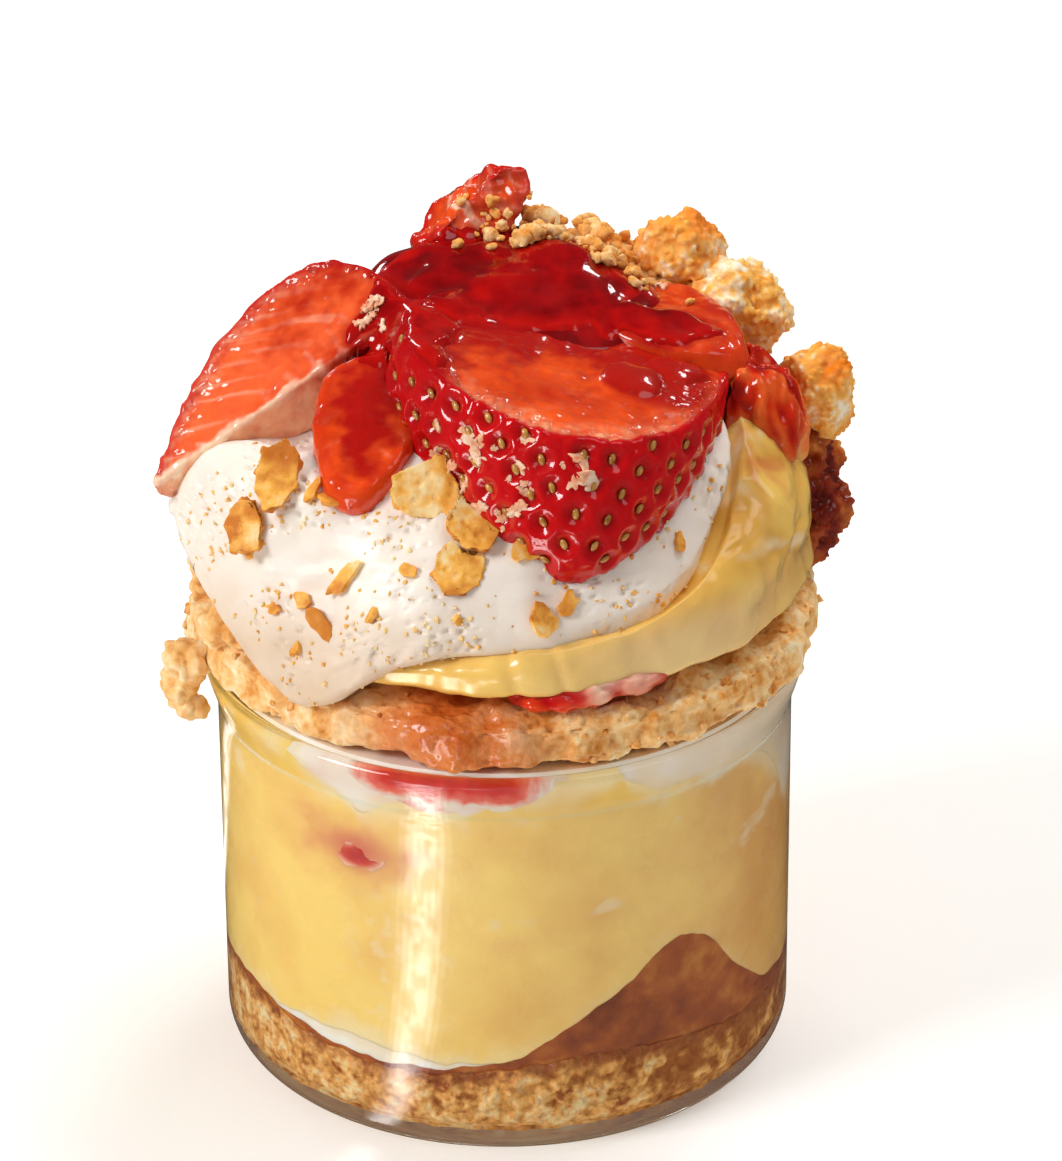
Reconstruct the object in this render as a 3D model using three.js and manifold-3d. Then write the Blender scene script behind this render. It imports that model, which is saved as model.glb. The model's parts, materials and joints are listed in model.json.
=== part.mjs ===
// Jar cheesecake: a glass jar of layered custard, cream and biscuit crumb, heaped above its rim with
// a ring of cake, a custard crown, a cream dollop, cut strawberries, jam, crumble and crust shards.
// Millimetres, +Z up, the middle of the jar's foot at the origin, the front of the jar towards -Y.
import * as THREE from "three";
import { ImprovedNoise } from "three/addons/math/ImprovedNoise.js";
import { mergeVertices } from "three/addons/utils/BufferGeometryUtils.js";
import Module from "manifold-3d";

const wasm = await Module();
wasm.setup();

// Clearances and general resolution.
const GAP = 0.3;
const SWELL = 0.35;
const REST = 0.45;
const SHARPEST = 0.5;
const UNEVEN = 0.27;
const WELD = 1e-4;
const CUTTER = 160;
const FULL_TURN = 360;

// Glass jar.
const JAR_RADIUS = 40;
const JAR_HEIGHT = 60.5;
const JAR_WALL = 2.4;
const JAR_FLOOR = 3.6;
const JAR_FLARE = 1.9;
const FLARE_HEIGHT = 8;
const FOOT_ROUND = 4.5;
const FLOOR_ROUND = 3.2;
const JAR_SEGMENTS = 32;
const ARC_STEPS = 3;

// Layers inside the glass: the grid they are drawn on, their heights and their waves along the wall.
const FILL_TOP = JAR_HEIGHT - 0.1;
const FILL_REACH = JAR_RADIUS + 6;
const FILL_RING = 30;
const WALL_RISE = [14, 38];
const BASE = { top: 13.4, wave: 1.5, waves: 4, crest: -70 };
const SOAK = { thick: 1.6, rise: 16, crest: -51, spread: 21 };
const LOWER_CREAM = { thin: 0.5, rise: 1.4, crest: -128, spread: 34 };
const UPPER_CREAM = { thin: 0.8, rise: 7.2, crest: -30, spread: 82 };
const UPPER_TONGUE = { rise: 4.5, crest: -122, spread: 9 };
const UPPER_NOTCH = { rise: -4, crest: -79, spread: 10 };
const UPPER_STRIP = { rise: 16, crest: -12, spread: 10 };

// Strawberry profile: where its shoulder sits and how full it is.
const BERRY_SHOULDER = 0.62;
const BERRY_FULLNESS = 0.62;

const rad = THREE.MathUtils.degToRad;
const smooth = THREE.MathUtils.smoothstep;
const lerp = THREE.MathUtils.lerp;
const perlin = new ImprovedNoise();

/** Smallest signed difference between two angles in degrees. */
function turnBetween(a, b) {
  const half = FULL_TURN / 2;
  return THREE.MathUtils.euclideanModulo(a - b + half, FULL_TURN) - half;
}

/** Bell of height one round an angle. */
function hill(angle, crest, spread) {
  return Math.exp(-((turnBetween(angle, crest) / spread) ** 2));
}

/** Polar radius and angle in degrees of a plan point. */
function polar(x, y) {
  return { r: Math.hypot(x, y), a: THREE.MathUtils.radToDeg(Math.atan2(y, x)) };
}

/** Plan point at a radius and an angle in degrees. */
function plan(r, a) {
  return [r * Math.cos(rad(a)), r * Math.sin(rad(a))];
}

/** Seeded even random numbers. */
function dice(seed) {
  let state = seed;
  return (low, high) => {
    state += 1;
    return lerp(low, high, THREE.MathUtils.seededRandom(state * seed));
  };
}

/** Moves a point by smooth noise of a grain size and depth. */
function roughen(point, grain, depth) {
  const [x, y, z] = point.toArray().map((value) => value / grain);
  point.x += depth * perlin.noise(x, y, z);
  point.y += depth * perlin.noise(y + grain, z, x);
  point.z += depth * perlin.noise(z, x + grain, y);
}

/** Joins a geometry's coincident points and drops triangles that close up. */
function weld(geometry) {
  const bare = geometry.clone();
  bare.deleteAttribute("normal");
  bare.deleteAttribute("uv");
  const joined = mergeVertices(bare, WELD);
  const old = joined.index.array;
  const kept = [];
  for (let i = 0; i < old.length; i += 3) {
    const [a, b, c] = [old[i], old[i + 1], old[i + 2]];
    if (a !== b && b !== c && c !== a) {
      kept.push(a, b, c);
    }
  }
  joined.setIndex(kept);
  return joined;
}

/** Solid of a closed geometry. */
function toSolid(geometry) {
  const joined = weld(geometry);
  const vertProperties = Float32Array.from(joined.attributes.position.array);
  const triVerts = Uint32Array.from(joined.index.array);
  return new wasm.Manifold(new wasm.Mesh({ numProp: 3, vertProperties, triVerts }));
}

/** Geometry of a solid. */
function toGeometry(solid) {
  const mesh = solid.getMesh();
  const geometry = new THREE.BufferGeometry();
  geometry.setAttribute("position", new THREE.Float32BufferAttribute(mesh.vertProperties, 3));
  geometry.setIndex(Array.from(mesh.triVerts));
  geometry.computeVertexNormals();
  return geometry;
}

/** Unit normals of a geometry's triangles, with the points each one touches. */
function facets(geometry) {
  const { position } = geometry.attributes;
  const index = geometry.index.array;
  const triangle = new THREE.Triangle();
  const list = [];
  for (let i = 0; i < index.length; i += 3) {
    const corners = [index[i], index[i + 1], index[i + 2]];
    triangle.setFromAttributeAndIndices(position, ...corners);
    list.push({ corners, normal: triangle.getNormal(new THREE.Vector3()) });
  }
  return list;
}

/** A solid grown outwards so that every facet moves by a small clearance. */
function swell(solid) {
  const geometry = toGeometry(solid);
  const { position } = geometry.attributes;
  const around = Array.from({ length: position.count }, () => []);
  facets(geometry).forEach(({ corners, normal }) => corners.forEach((i) => around[i].push(normal)));
  around.forEach((normals, i) => {
    const mean = normals.reduce((sum, n) => sum.add(n), new THREE.Vector3()).normalize();
    const least = Math.min(...normals.map((n) => n.dot(mean)));
    const point = new THREE.Vector3().fromBufferAttribute(position, i);
    point.addScaledVector(mean, SWELL / Math.max(least, SHARPEST));
    position.setXYZ(i, point.x, point.y, point.z);
  });
  return toSolid(geometry);
}

/** The largest body of a solid. */
function mainBody(solid) {
  const bodies = solid.decompose();
  return bodies.reduce((most, body) => (body.volume() > most.volume() ? body : most));
}

/** A solid with smaller solids fused on. */
function fuse(solid, parts) {
  return mainBody(parts.reduce((whole, part) => whole.add(part), solid));
}

/** Cuts each piece of a list clear of the pieces that come before it. */
function cutClear(pieces) {
  const grown = [];
  return pieces.map((piece) => {
    const left = grown.reduce((rest, other) => rest.subtract(other), piece.solid);
    grown.push(swell(piece.solid));
    return { ...piece, solid: mainBody(left) };
  });
}

/** Closed skin through rings of points, from a pole below to a pole above, mirrored past a row. */
function loft(lowPole, rings, highPole, mirrorRow) {
  const count = rings[0].length;
  const points = [lowPole, ...rings.flat(), highPole];
  const last = points.length - 1;
  const top = rings.length - 1;
  const at = (row, i) => 1 + row * count + (i % count);
  const index = [];
  for (let i = 0; i < count; i += 1) {
    index.push(0, at(0, i + 1), at(0, i));
    index.push(last, at(top, i), at(top, i + 1));
    for (let row = 0; row < top; row += 1) {
      const [a, b, c, d] = [at(row, i), at(row, i + 1), at(row + 1, i + 1), at(row + 1, i)];
      index.push(...(row < mirrorRow ? [a, b, c, a, c, d] : [a, b, d, b, c, d]));
    }
  }
  const geometry = new THREE.BufferGeometry().setFromPoints(points);
  geometry.setIndex(index);
  return geometry;
}

/** Sum of a list of local swells at an angle. */
function swells(list = [], angle = 0) {
  return list.reduce((sum, { by, at, spread }) => sum + by * hill(angle, at, spread), 0);
}

/** Outline radius of a pebble at an angle. */
function reachOf({ mean, oval = 0, lobes = 0, lobeDepth = 0, local }, angle) {
  const wave = oval * Math.cos(rad(2 * angle)) + lobeDepth * Math.sin(rad(lobes * angle));
  return mean + wave + swells(local, angle);
}

/** Height of a tilted field with local swells round a centre. */
function heightOf({ level, slopeX = 0, slopeY = 0, local }, x, y, centre) {
  const { a } = polar(x - centre[0], y - centre[1]);
  return level + slopeX * x + slopeY * y + swells(local, a);
}

/** Rise of a rounded edge at a share of the reach, squarer with a higher power. */
function bulge(share, power) {
  return Math.max(0, 1 - share ** power) ** (1 / power);
}

/** Rise of a pebble's upper side: a rounded edge, or a dome over a rounded lip. */
function riseOf({ power, lip = 1, domePower = 1, local }, share, angle) {
  const slope = 1 - share ** (domePower + swells(local, angle));
  return lip * bulge(share, power) + (1 - lip) * slope;
}

/** Point of a pebble: side +1 above and -1 below its edge line, at a share of its reach. */
function pebblePoint(shape, side, share, angle) {
  const { centre } = shape;
  const [dx, dy] = plan(share * reachOf(shape.reach, angle), angle);
  const x = centre[0] + dx;
  const y = centre[1] + dy;
  const edge = heightOf(shape.edge, x, y, centre);
  const far = side > 0 ? heightOf(shape.top, x, y, centre) : heightOf(shape.bottom, x, y, centre);
  const part = side > 0 ? riseOf(shape.rise, share, angle) : bulge(share, shape.fall);
  return new THREE.Vector3(x, y, lerp(edge, far, part));
}

/** Rounded body over a closed outline, with heights that swell from its edge line. */
function pebble(shape) {
  const ring = (side, share) => {
    const points = [];
    for (let i = 0; i < shape.sectors; i += 1) {
      const point = pebblePoint(shape, side, share, (FULL_TURN * i) / shape.sectors);
      const ceiling = shape.flatTop ? heightOf(shape.top, point.x, point.y, shape.centre) : Infinity;
      roughen(point, shape.grain, shape.crag);
      point.z = THREE.MathUtils.clamp(point.z, shape.floor, ceiling);
      points.push(point);
    }
    return points;
  };
  const rings = [
    ...shape.below.map((share) => ring(-1, share)),
    ring(1, 1),
    ...shape.above.map((share) => ring(1, share)).reverse(),
  ];
  const lowPole = pebblePoint(shape, -1, 0, 0);
  const highPole = pebblePoint(shape, 1, 0, 0);
  return toSolid(loft(lowPole, rings, highPole, shape.below.length));
}

/** Point and outward direction on a pebble's upper side over a plan point. */
function seatOn(shape, x, y) {
  const heightAt = (px, py) => {
    const { r, a } = polar(px - shape.centre[0], py - shape.centre[1]);
    return pebblePoint(shape, 1, Math.min(r / reachOf(shape.reach, a), 1), a).z;
  };
  const z = heightAt(x, y);
  const slopeX = (heightAt(x + GAP, y) - z) / GAP;
  const slopeY = (heightAt(x, y + GAP) - z) / GAP;
  const point = new THREE.Vector3(x, y, z);
  roughen(point, shape.grain, shape.crag);
  return { point, outward: new THREE.Vector3(-slopeX, -slopeY, 1).normalize() };
}

/** Half a space on one side of a point, as a large block. */
function halfSpace(point, outward) {
  const block = new THREE.BoxGeometry(CUTTER, CUTTER, CUTTER);
  block.translate(0, CUTTER / 2, 0);
  const up = new THREE.Vector3(0, 1, 0);
  block.applyQuaternion(new THREE.Quaternion().setFromUnitVectors(up, outward));
  block.translate(point.x, point.y, point.z);
  return toSolid(block);
}

/** Whole strawberry from its stem end to its tip. */
function berry({ stem, tip, width, segments, steps, fullness = BERRY_FULLNESS }) {
  const from = new THREE.Vector3(...stem);
  const along = new THREE.Vector3(...tip).sub(from);
  const length = along.length();
  const profile = [];
  for (let i = 0; i <= steps; i += 1) {
    const share = i / steps;
    const full = Math.sin(Math.PI * share ** BERRY_SHOULDER) ** fullness;
    profile.push(new THREE.Vector2(i === steps ? 0 : (width / 2) * full, share * length));
  }
  const body = new THREE.LatheGeometry(profile, segments);
  const up = new THREE.Vector3(0, 1, 0);
  body.applyQuaternion(new THREE.Quaternion().setFromUnitVectors(up, along.normalize()));
  body.translate(from.x, from.y, from.z);
  return toSolid(body);
}

/** A strawberry trimmed flat by planes given as a point and an outward direction. */
function cutBerry(spec) {
  return spec.cuts.reduce((rest, { through, outward }) => {
    const facing = new THREE.Vector3(...outward).normalize();
    return rest.subtract(halfSpace(new THREE.Vector3(...through), facing));
  }, berry(spec));
}

/** Craggy lump of cake, biscuit or pulp. */
function lump({ centre, size, turn, grain, crag, detail }) {
  const body = new THREE.IcosahedronGeometry(1, detail);
  const spot = body.attributes.position;
  const turned = new THREE.Euler(...turn.map(rad));
  const half = new THREE.Vector3(...size).multiplyScalar(1 / 2);
  const point = new THREE.Vector3();
  for (let i = 0; i < spot.count; i += 1) {
    point.fromBufferAttribute(spot, i).multiply(half).applyEuler(turned);
    point.add(new THREE.Vector3(...centre));
    roughen(point, grain, crag);
    spot.setXYZ(i, point.x, point.y, point.z);
  }
  return toSolid(body);
}

/** Thin flake of crust with an uneven outline, lying on a seat. */
function flake({ seat, length, width, thick, corners, spin, tilt, sink, seed }) {
  const roll = dice(seed);
  const outline = [];
  for (let i = 0; i < corners; i += 1) {
    const angle = (2 * Math.PI * (i + roll(-UNEVEN, UNEVEN))) / corners;
    const share = roll(1 - UNEVEN, 1) / 2;
    const corner = [length * share * Math.cos(angle), width * share * Math.sin(angle)];
    outline.push(new THREE.Vector2(...corner));
  }
  const shape = new THREE.Shape(outline);
  const plate = new THREE.ExtrudeGeometry(shape, { depth: thick, bevelEnabled: false });
  plate.translate(0, 0, -thick * sink);
  plate.rotateX(rad(tilt));
  plate.rotateZ(rad(spin));
  const up = new THREE.Vector3(0, 0, 1);
  plate.applyQuaternion(new THREE.Quaternion().setFromUnitVectors(up, seat.outward));
  plate.translate(seat.point.x, seat.point.y, seat.point.z);
  return toSolid(plate);
}

/** Radius of the jar's outer wall at a height. */
function outerRadius(z) {
  return JAR_RADIUS + JAR_FLARE * smooth(z, JAR_HEIGHT - FLARE_HEIGHT, JAR_HEIGHT);
}

/** Arc of profile points about a centre, between two angles. */
function arc(x, z, radius, from, to) {
  const points = [];
  for (let i = 0; i <= ARC_STEPS; i += 1) {
    const angle = rad(lerp(from, to, i / ARC_STEPS));
    points.push(new THREE.Vector2(x + radius * Math.cos(angle), z + radius * Math.sin(angle)));
  }
  return points;
}

/** Flared part of the wall profile, at a set-back from the outer face. */
function flareProfile(setBack, high) {
  const points = [];
  for (let i = 0; i <= ARC_STEPS; i += 1) {
    const z = lerp(JAR_HEIGHT - FLARE_HEIGHT, high, i / ARC_STEPS);
    points.push(new THREE.Vector2(outerRadius(z) - setBack, z));
  }
  return points;
}

/** Revolved solid of a profile that starts and ends on the axis. */
function revolve(profile) {
  const body = new THREE.LatheGeometry(profile, JAR_SEGMENTS);
  body.rotateX(Math.PI / 2);
  return toSolid(body);
}

/** Glass jar: rounded foot, straight wall, gently flared lip. */
function glassJar() {
  const lip = JAR_WALL / 2;
  const inner = JAR_RADIUS - JAR_WALL;
  return revolve([
    new THREE.Vector2(0, 0),
    ...arc(JAR_RADIUS - FOOT_ROUND, FOOT_ROUND, FOOT_ROUND, -90, 0),
    ...flareProfile(0, JAR_HEIGHT - lip),
    ...arc(outerRadius(JAR_HEIGHT) - lip, JAR_HEIGHT - lip, lip, 0, 180).slice(1, -1),
    ...flareProfile(JAR_WALL, JAR_HEIGHT - lip).reverse(),
    ...arc(inner - FLOOR_ROUND, JAR_FLOOR + FLOOR_ROUND, FLOOR_ROUND, 0, -90),
    new THREE.Vector2(0, JAR_FLOOR),
  ]);
}

/** Room inside the glass, clear of its wall and floor. */
function jarRoom() {
  const setBack = JAR_WALL + GAP;
  const round = FLOOR_ROUND - GAP;
  const low = JAR_FLOOR + GAP;
  return revolve([
    new THREE.Vector2(0, low),
    ...arc(JAR_RADIUS - setBack - round, low + round, round, -90, 0),
    ...flareProfile(setBack, FILL_TOP),
    new THREE.Vector2(0, FILL_TOP),
  ]);
}

/** Height that a local rise adds near the wall. */
function swellOf({ rise, crest, spread }, x, y) {
  const { r, a } = polar(x, y);
  return rise * hill(a, crest, spread) * smooth(r, ...WALL_RISE);
}

/** Height of the biscuit base's top. */
function baseTop(x, y) {
  const { r, a } = polar(x, y);
  const wave = Math.cos(rad(BASE.waves * (a - BASE.crest)));
  return BASE.top + BASE.wave * Math.min(r / JAR_RADIUS, 1) * wave;
}

/** Height of the soaked sponge's top, which climbs the wall on the right. */
function soakTop(x, y) {
  return baseTop(x, y) + GAP + SOAK.thick + swellOf(SOAK, x, y);
}

/** Height of the lower cream's top, thickest at the front left. */
function lowerCreamTop(x, y) {
  return soakTop(x, y) + GAP + LOWER_CREAM.thin + swellOf(LOWER_CREAM, x, y);
}

/** Height of the upper cream's underside, which thins out on the left. */
function upperCreamFoot(x, y) {
  const parts = [UPPER_CREAM, UPPER_TONGUE, UPPER_NOTCH, UPPER_STRIP];
  const depth = parts.reduce((sum, part) => sum + swellOf(part, x, y), UPPER_CREAM.thin);
  return FILL_TOP - depth;
}

/** Layer between two height functions, wider than the room inside the glass. */
function layer(low, high) {
  const radii = [FILL_RING, FILL_REACH];
  const ring = (height, r) => {
    const points = [];
    for (let i = 0; i < JAR_SEGMENTS; i += 1) {
      const [x, y] = plan(r, (FULL_TURN * i) / JAR_SEGMENTS);
      points.push(new THREE.Vector3(x, y, height(x, y)));
    }
    return points;
  };
  const rings = [
    ...radii.map((r) => ring(low, r)),
    ...radii.map((r) => ring(high, r)).reverse(),
  ];
  const lowPole = new THREE.Vector3(0, 0, low(0, 0));
  const highPole = new THREE.Vector3(0, 0, high(0, 0));
  return toSolid(loft(lowPole, rings, highPole, radii.length));
}

// Jam that shows just under the rim, and a piece of strawberry sunk in the custard.
const RIM_JAM = {
  centre: [...plan(33, -100), FILL_TOP - 2],
  size: [26, 14, 7],
  turn: [0, 0, -8],
  grain: 5,
  crag: 0.6,
  detail: 1,
};
const SUNK_BERRY = {
  centre: [...plan(35, -121), 44.6],
  size: [9, 9, 4.6],
  turn: [0, 14, -31],
  grain: 6,
  crag: 0.4,
  detail: 1,
};

// Ring of cake that rests on the rim.
const CAKE_FLOOR = JAR_HEIGHT + REST;
const CAKE_TOP = { level: 70, slopeY: 0.03 };
const CAKE = {
  centre: [0, 0],
  reach: { mean: 42, oval: 1.2, local: [{ by: -1.6, at: -130, spread: 22 }] },
  top: CAKE_TOP,
  bottom: { level: CAKE_FLOOR },
  edge: { level: 65.5 },
  rise: { power: 5 },
  fall: 7,
  sectors: 54,
  above: [0.9, 0.97],
  below: [0.9, 0.97],
  grain: 3.3,
  crag: 1.6,
  floor: CAKE_FLOOR,
  flatTop: true,
};

// Crumbs that stand out of the cake ring, the pieces that rise on its left, the clump over the glass.
const CAKE_CRUMBS = {
  count: 12,
  seed: 17,
  small: 2.6,
  large: 4.6,
  near: 0.96,
  stray: 0.8,
  crag: 0.5,
  detail: 0,
};
const CAKE_RISERS = {
  count: 3,
  from: -199,
  to: -158,
  radius: 39.5,
  height: 70.6,
  size: 8.4,
  crag: 1.3,
  detail: 0,
};
const CAKE_CLUMP = {
  count: 4,
  from: -166,
  to: -173.5,
  radius: 44.6,
  height: 62.4,
  drop: 7.5,
  size: 6.6,
  shrink: 2.4,
  crag: 0.9,
  detail: 1,
};

// How uneven a crumb is: its breadth and height as shares of its length, and how far it is turned.
const CRUMB = { breadth: [0.7, 1], height: [0.6, 0.9], turn: [0, 90] };

/** Uneven crumb of a mean size. */
function crumb(centre, size, roll, { crag, detail }) {
  return lump({
    centre,
    size: [size, size * roll(...CRUMB.breadth), size * roll(...CRUMB.height)],
    turn: [roll(...CRUMB.turn), roll(...CRUMB.turn), roll(...CRUMB.turn)],
    grain: size / 2,
    crag,
    detail,
  });
}

/** Crumbs along an arc of the cake's edge. */
function crumbArc(row, roll) {
  const { count, from, to, radius, height, size, drop = 0, shrink = 0 } = row;
  const crumbs = [];
  for (let i = 0; i < count; i += 1) {
    const share = i / (count - 1);
    const centre = [...plan(radius, lerp(from, to, share)), height - drop * share];
    crumbs.push(crumb(centre, size - shrink * share, roll, row));
  }
  return crumbs;
}

/** Solids fused to the cake ring. */
function cakeCrumbs() {
  const { count, seed, small, large, near, stray } = CAKE_CRUMBS;
  const roll = dice(seed);
  const crumbs = [...crumbArc(CAKE_RISERS, roll), ...crumbArc(CAKE_CLUMP, roll)];
  for (let i = 0; i < count; i += 1) {
    const angle = (FULL_TURN * (i + roll(0, stray))) / count;
    const { x, y, z } = pebblePoint(CAKE, i % 2 ? 1 : -1, roll(near, 1), angle);
    const size = roll(small, large);
    const highest = heightOf(CAKE_TOP, x, y, CAKE.centre) - size / 2;
    const centre = [x, y, THREE.MathUtils.clamp(z, CAKE_FLOOR + size / 2, highest)];
    crumbs.push(crumb(centre, size, roll, CAKE_CRUMBS));
  }
  return crumbs;
}

// Slice of strawberry between the custard and the cake at the front right.
const LOW_SLICE = {
  centre: [...plan(33.5, -66), 71.4],
  size: [29, 13, 5.6],
  turn: [0, -7, 24],
  grain: 6,
  crag: 0.5,
  detail: 2,
};

// Custard crown on the cake, with a scalloped lip and a higher right side.
const CUSTARD_LIP = 4.5;
const CUSTARD = {
  centre: [1, 0],
  reach: {
    mean: 38.2,
    lobes: 9,
    lobeDepth: 0.5,
    local: [{ by: 2.8, at: -5, spread: 40 }, { by: -1, at: 180, spread: 50 }],
  },
  top: { level: 84, slopeX: 0.3, slopeY: 0.12 },
  bottom: { ...CAKE_TOP, level: CAKE_TOP.level + REST },
  edge: { ...CAKE_TOP, level: CAKE_TOP.level + CUSTARD_LIP },
  rise: { power: 4 },
  fall: 4,
  sectors: 38,
  above: [0.7, 0.9, 0.97],
  below: [0.9],
  grain: 8,
  crag: 0.7,
  floor: 0,
};

// Cream dollop over the front and left of the custard: its edge is raised at the right, the left tip
// and the back, and hangs down over the cake at the front left.
const CREAM_EDGE = {
  level: 79,
  local: [
    { by: 17, at: 12, spread: 30 },
    { by: 6, at: 178, spread: 10 },
    { by: 8, at: 95, spread: 45 },
    { by: -10, at: -135, spread: 24 },
  ],
};
const CREAM_LIP = 5;
const CREAM = {
  centre: [-8, -11],
  reach: {
    mean: 32.2,
    oval: 5.8,
    local: [{ by: 2, at: 174, spread: 14 }, { by: -5, at: -152, spread: 30 }],
  },
  top: { level: 99.5 },
  bottom: { ...CREAM_EDGE, level: CREAM_EDGE.level - CREAM_LIP },
  edge: CREAM_EDGE,
  rise: { power: 6, lip: 0.13, domePower: 2.2, local: [{ by: 4, at: 180, spread: 45 }] },
  fall: 3,
  sectors: 38,
  above: [0.4, 0.65, 0.82, 0.94],
  below: [0.92],
  grain: 13,
  crag: 1,
  floor: 0,
};

// Small flakes fused to the cream: the stretch of its front they lie on, and their sizes.
const FLAKE = { corners: 6, thick: 1.8, sink: 0.35 };
const CREAM_FLAKES = {
  count: 7,
  seed: 5,
  from: -165,
  to: -62,
  near: 0.72,
  far: 0.97,
  stray: [0.2, 0.8],
  small: 2.4,
  large: 4.6,
  breadth: [0.5, 0.8],
  lean: 15,
};

/** Flakes small enough to be part of the cream. */
function creamFlakes() {
  const { count, seed, from, to, near, far, stray, small, large, breadth, lean } = CREAM_FLAKES;
  const roll = dice(seed);
  const flakes = [];
  for (let i = 0; i < count; i += 1) {
    const angle = lerp(from, to, (i + roll(...stray)) / count);
    const [dx, dy] = plan(reachOf(CREAM.reach, angle) * roll(near, far), angle);
    const length = roll(small, large);
    flakes.push(flake({
      ...FLAKE,
      seat: seatOn(CREAM, CREAM.centre[0] + dx, CREAM.centre[1] + dy),
      length,
      width: length * roll(...breadth),
      spin: roll(0, FULL_TURN),
      tilt: roll(-lean, lean),
      seed: seed + i,
    }));
  }
  return flakes;
}

// Larger shards of crust that lie on the cream: plan place, length, width, spin and tilt.
const SHARD = { corners: 8, thick: 1.8, sink: 0.35 };
const SHARDS = {
  crust_shard_left: { x: -29.5, y: -20, length: 11, width: 7.5, spin: 60, tilt: 20 },
  crust_shard_outer: { x: -33.8, y: -21.5, length: 9.5, width: 6.5, spin: 75, tilt: 6 },
  crust_shard_upper: { x: -8.2, y: -24.4, length: 17, width: 11, spin: 10, tilt: 26 },
  crust_shard_middle: { x: -4.5, y: -29, length: 9.5, width: 7, spin: 150, tilt: 10 },
  crust_shard_front: { x: -6.2, y: -32.5, length: 12, width: 8, spin: 60, tilt: 4 },
};

/** One large shard of crust, resting on the cream. */
function crustShard(spec, seed) {
  return flake({ ...SHARD, ...spec, seat: seatOn(CREAM, spec.x, spec.y), seed });
}

// Cut strawberries: stem end, tip, greatest width and the planes that trim them.
const BERRIES = {
  strawberry_centre: {
    stem: [6, 11, 106.5],
    tip: [9.6, -33, 87.2],
    width: 46,
    segments: 24,
    steps: 10,
    cuts: [
      { through: [12.9, -22.7, 104.2], outward: [0.2, -0.054, 0.978] },
      { through: [8, -20, 86], outward: [0, 0.25, -1] },
    ],
  },
  strawberry_left: {
    stem: [-15, 8.8, 108.7],
    tip: [-46.4, -15.4, 86.2],
    width: 27,
    segments: 18,
    steps: 10,
    cuts: [
      { through: [-30, -5, 99.5], outward: [-0.33, -0.5, 0.8] },
      { through: [-30, -5, 99.5], outward: [0.4, -0.9, -0.2] },
      { through: [-34, 2, 93], outward: [0.2, 0.4, -0.9] },
    ],
  },
  strawberry_tongue: {
    stem: [-16, -3, 103],
    tip: [-20, -24.8, 92.6],
    width: 15.5,
    fullness: 0.42,
    segments: 14,
    steps: 11,
    cuts: [
      { through: [-18.6, -14.8, 100.2], outward: [-0.06, -0.41, 0.91] },
      { through: [-18.3, -12.1, 93.9], outward: [0.06, 0.41, -0.91] },
    ],
  },
  strawberry_right: {
    stem: [16.5, 12, 105.5],
    tip: [33, -2, 100],
    width: 19,
    segments: 14,
    steps: 7,
    cuts: [
      { through: [23, 5, 106], outward: [0.12, -0.08, 1] },
      { through: [23, 5, 100.5], outward: [-0.12, 0.08, -1] },
    ],
  },
  strawberry_peak: {
    stem: [-10.5, 24, 107],
    tip: [3.6, 26, 119.6],
    width: 12,
    segments: 12,
    steps: 7,
    cuts: [
      { through: [-3, 21, 113], outward: [0.25, -0.85, 0.35] },
      { through: [-7, 24, 114.4], outward: [-0.63, 0, 0.775] },
    ],
  },
};

// Chunks of biscuit and cake, jam-soaked cake and berry pulp: place, size, turn and relief.
const CHUNK = { grain: 4.5, crag: 2, detail: 2 };
const CHUNKS = {
  biscuit_chunk_back: { centre: [25, 24, 107.3], size: [12.5, 11, 10.5], turn: [15, 20, 10] },
  biscuit_chunk_pale: { centre: [32, 20, 101], size: [15, 13, 13], turn: [0, 25, 30] },
  biscuit_chunk_right: { centre: [43, 9, 93.6], size: [11.5, 11, 12], turn: [0, 35, 15] },
  jam_cake_right: { centre: [40.6, 8, 78.6], size: [12, 17, 21], turn: [0, -8, -20] },
  berry_pulp_right: { centre: [33.5, 1, 93], size: [15, 17, 20], turn: [0, -20, 10] },
};

/** One chunk of the heap. */
function chunk(spec) {
  return lump({ ...CHUNK, ...spec });
}

// Heap of crumbled cake at the back, with crumbs along its crest.
const CRUMBLE = {
  centre: [9, 22],
  reach: { mean: 17, local: [{ by: 9, at: 0, spread: 35 }, { by: 5, at: 180, spread: 40 }] },
  top: { level: 110.5, slopeX: -0.1, slopeY: -0.06 },
  bottom: { level: 84 },
  edge: { level: 93 },
  rise: { power: 3 },
  fall: 3,
  sectors: 26,
  above: [0.45, 0.75, 0.93],
  below: [0.85],
  grain: 4.4,
  crag: 3.2,
  floor: 0,
};
const CREST = {
  count: 5,
  from: [-7, 25],
  to: [19, 27],
  stray: 3,
  height: 110.6,
  seed: 29,
  small: 4.4,
  large: 6.4,
  crag: 0.9,
  detail: 0,
};

/** Row of crumbs along the crumble's crest. */
function crestCrumbs() {
  const { count, from, to, stray, height, seed, small, large } = CREST;
  const roll = dice(seed);
  const crumbs = [];
  for (let i = 0; i < count; i += 1) {
    const share = i / (count - 1);
    const x = lerp(from[0], to[0], share);
    const y = lerp(from[1], to[1], share) + roll(-stray, stray);
    crumbs.push(crumb([x, y, height + roll(-stray, stray) / 2], roll(small, large), roll, CREST));
  }
  return crumbs;
}

// Dark jam pooled between the strawberries.
const JAM = {
  centre: [0, 9],
  reach: {
    mean: 18,
    local: [
      { by: 3.5, at: 0, spread: 35 },
      { by: 2, at: 180, spread: 30 },
      { by: 5, at: -118, spread: 28 },
    ],
  },
  top: { level: 107.6, slopeY: 0.2 },
  bottom: { level: 94 },
  edge: { level: 101, slopeY: 0.3 },
  rise: { power: 2.6 },
  fall: 3,
  sectors: 24,
  above: [0.45, 0.75, 0.93],
  below: [0.8],
  grain: 8,
  crag: 1.1,
  floor: 0,
};

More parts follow.
